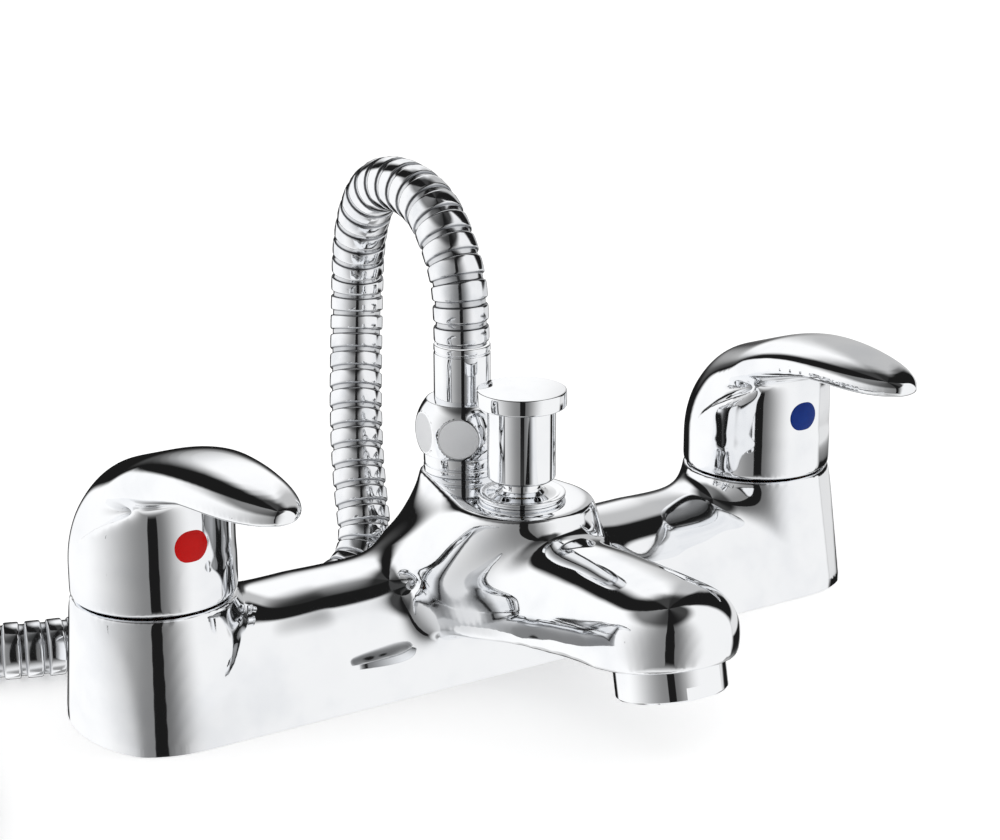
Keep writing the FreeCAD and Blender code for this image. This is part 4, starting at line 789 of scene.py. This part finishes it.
def make_tent():
    """The white panels and dark gaps round the object, which only mirrors see."""
    bm = bmesh.new()
    bmesh.ops.create_uvsphere(bm, u_segments=64, v_segments=32, radius=TENT_RADIUS)
    tent = new_object("studio_tent", make_mesh("studio_tent", bm))
    for ray in ("camera", "diffuse", "transmission", "volume_scatter", "shadow"):
        setattr(tent, "visible_" + ray, False)
    material = bpy.data.materials.new("studio_panels")
    material.use_nodes = True
    tree = material.node_tree
    tree.nodes.clear()
    place = add(tree, "ShaderNodeTexCoord").outputs["Object"]
    parts = add(tree, "ShaderNodeSeparateXYZ", {0: place}).outputs
    front = math_node(tree, "MULTIPLY", parts["Y"], -1.0)
    around = math_node(tree, "DEGREES", math_node(tree, "ARCTAN2", parts["X"], front))
    height = math_node(tree, "DIVIDE", parts["Z"], TENT_RADIUS)
    rise = math_node(tree, "DEGREES", math_node(tree, "ARCSINE", height))

    def times(first, second):
        return math_node(tree, "MULTIPLY", first, second)

    def brighter(first, second):
        return math_node(tree, "MAXIMUM", first, second)

    def span(value, start, end, soft_start, soft_end):
        opening = ease(tree, value, start - soft_start, start + soft_start)
        closing = ease(tree, value, end - soft_end, end + soft_end, 1.0, 0.0)
        return times(opening, closing)

    # left wall: white far round, greyer towards the camera, drawn back higher up
    start = math_node(tree, "MAXIMUM", math_node(tree, "SUBTRACT", rise, 18.0), 0.0)
    start = math_node(tree, "MULTIPLY_ADD", start, 0.85, -176.0)
    left = ease(tree, math_node(tree, "SUBTRACT", around, start), -5, 5)
    left = times(left, ease(tree, around, -37.1, -35.9, 1.0, 0.0))
    left = times(left, ease(tree, rise, 38, 56, 1.0, 0.22))
    left = times(left, ease(tree, around, -125, -38, 1.06, 0.24))
    # right wall: grey beside the camera, white further round
    right = span(around, -23.5, 79, 0.8, 5)
    lid = math_node(tree, "MULTIPLY_ADD", around, 0.25, 52.0)
    above = math_node(tree, "SUBTRACT", rise, lid)
    right = times(right, ease(tree, above, -8, 8, 1.0, 0.06))
    right = times(right, ease(tree, around, -24, 24, 0.16, 0.96))
    # back wall: dark low down and above, greyer towards the right
    back = span(around, 118, 173, 4, 8)
    back = times(back, ease(tree, rise, 44, 66, 1.0, 0.05))
    corner = math_node(tree, "MULTIPLY_ADD", around, -1.1, 180.0)
    lower = math_node(tree, "ADD", rise, corner)
    back = times(back, ease(tree, lower, 5, 32, 0.12, 1.05))
    back = times(back, ease(tree, around, 134, 145, 0.52, 1.0))
    light = brighter(brighter(left, right), back)
    # the ground, darker straight below the object and towards the horizon
    ground = ease(tree, rise, -62, -18, 0.92, 0.0)
    ground = times(ground, ease(tree, rise, -74, -56, 0.35, 1.0))
    light = brighter(light, ground)
    # a dark foot behind the object, for the thin dark outlines
    foot = times(span(around, 135, 179, 5, 2), span(rise, -40, 7, 6, 6))
    light = times(light, math_node(tree, "MULTIPLY_ADD", foot, -0.9, 1.0))
    # a low panel at the right, for the outer wall of the right tower
    low_side = times(span(around, 76, 124, 4, 4), times(span(rise, -12.5, 4, 1.5, 3), 0.8))
    light = brighter(brighter(light, low_side), 0.012)
    glow = add(tree, "ShaderNodeEmission", {"Color": (1, 1, 1, 1), "Strength": light})
    sink = add(tree, "ShaderNodeOutputMaterial")
    tree.links.new(glow.outputs[0], sink.inputs["Surface"])
    tent.data.materials.append(material)


def make_lamp(name, place, size, power):
    data = bpy.data.lights.new(name, "AREA")
    data.shape = "SQUARE"
    data.size = size
    data.energy = power
    lamp = new_object(name, data)
    lamp.location = place
    lamp.rotation_mode = "QUATERNION"
    lamp.rotation_quaternion = (-Vector(place)).to_track_quat("-Z", "Y")
    lamp.visible_glossy = False
    lamp.visible_camera = False


place_camera()
hose, hose_path, hose_tail, hose_heading = make_hose()
make_world()
make_floor()
make_tent()
make_lamp("soft_key", (-0.9, -0.8, 1.3), 1.2, 3.0)
make_lamp("soft_fill", (1.1, -0.4, 1.0), 1.2, 2.0)
finish_nodes()
ferrule = make_ferrule()
ball_nut = make_ball_nut()
end_sleeve, end_nut = make_hose_end(hose_tail, hose_heading)
make_knob()
make_bonnet()
make_nipple()
make_index_disc("red_disc", -1, 2.5, 0.0484, "hot_index_disc", "hot_lever", red_enamel,
                "hot_mark")
make_index_disc("blue_disc", 1, 0.0, 0.0490, "cold_index_disc", "cold_lever", blue_enamel,
                "cold_mark")
tap_body = make_tap_body()
make_handle("hot_lever_handle", "hot_handle", "hot_lever", -1)
make_handle("cold_lever_handle", "cold_handle", "cold_lever", 1)
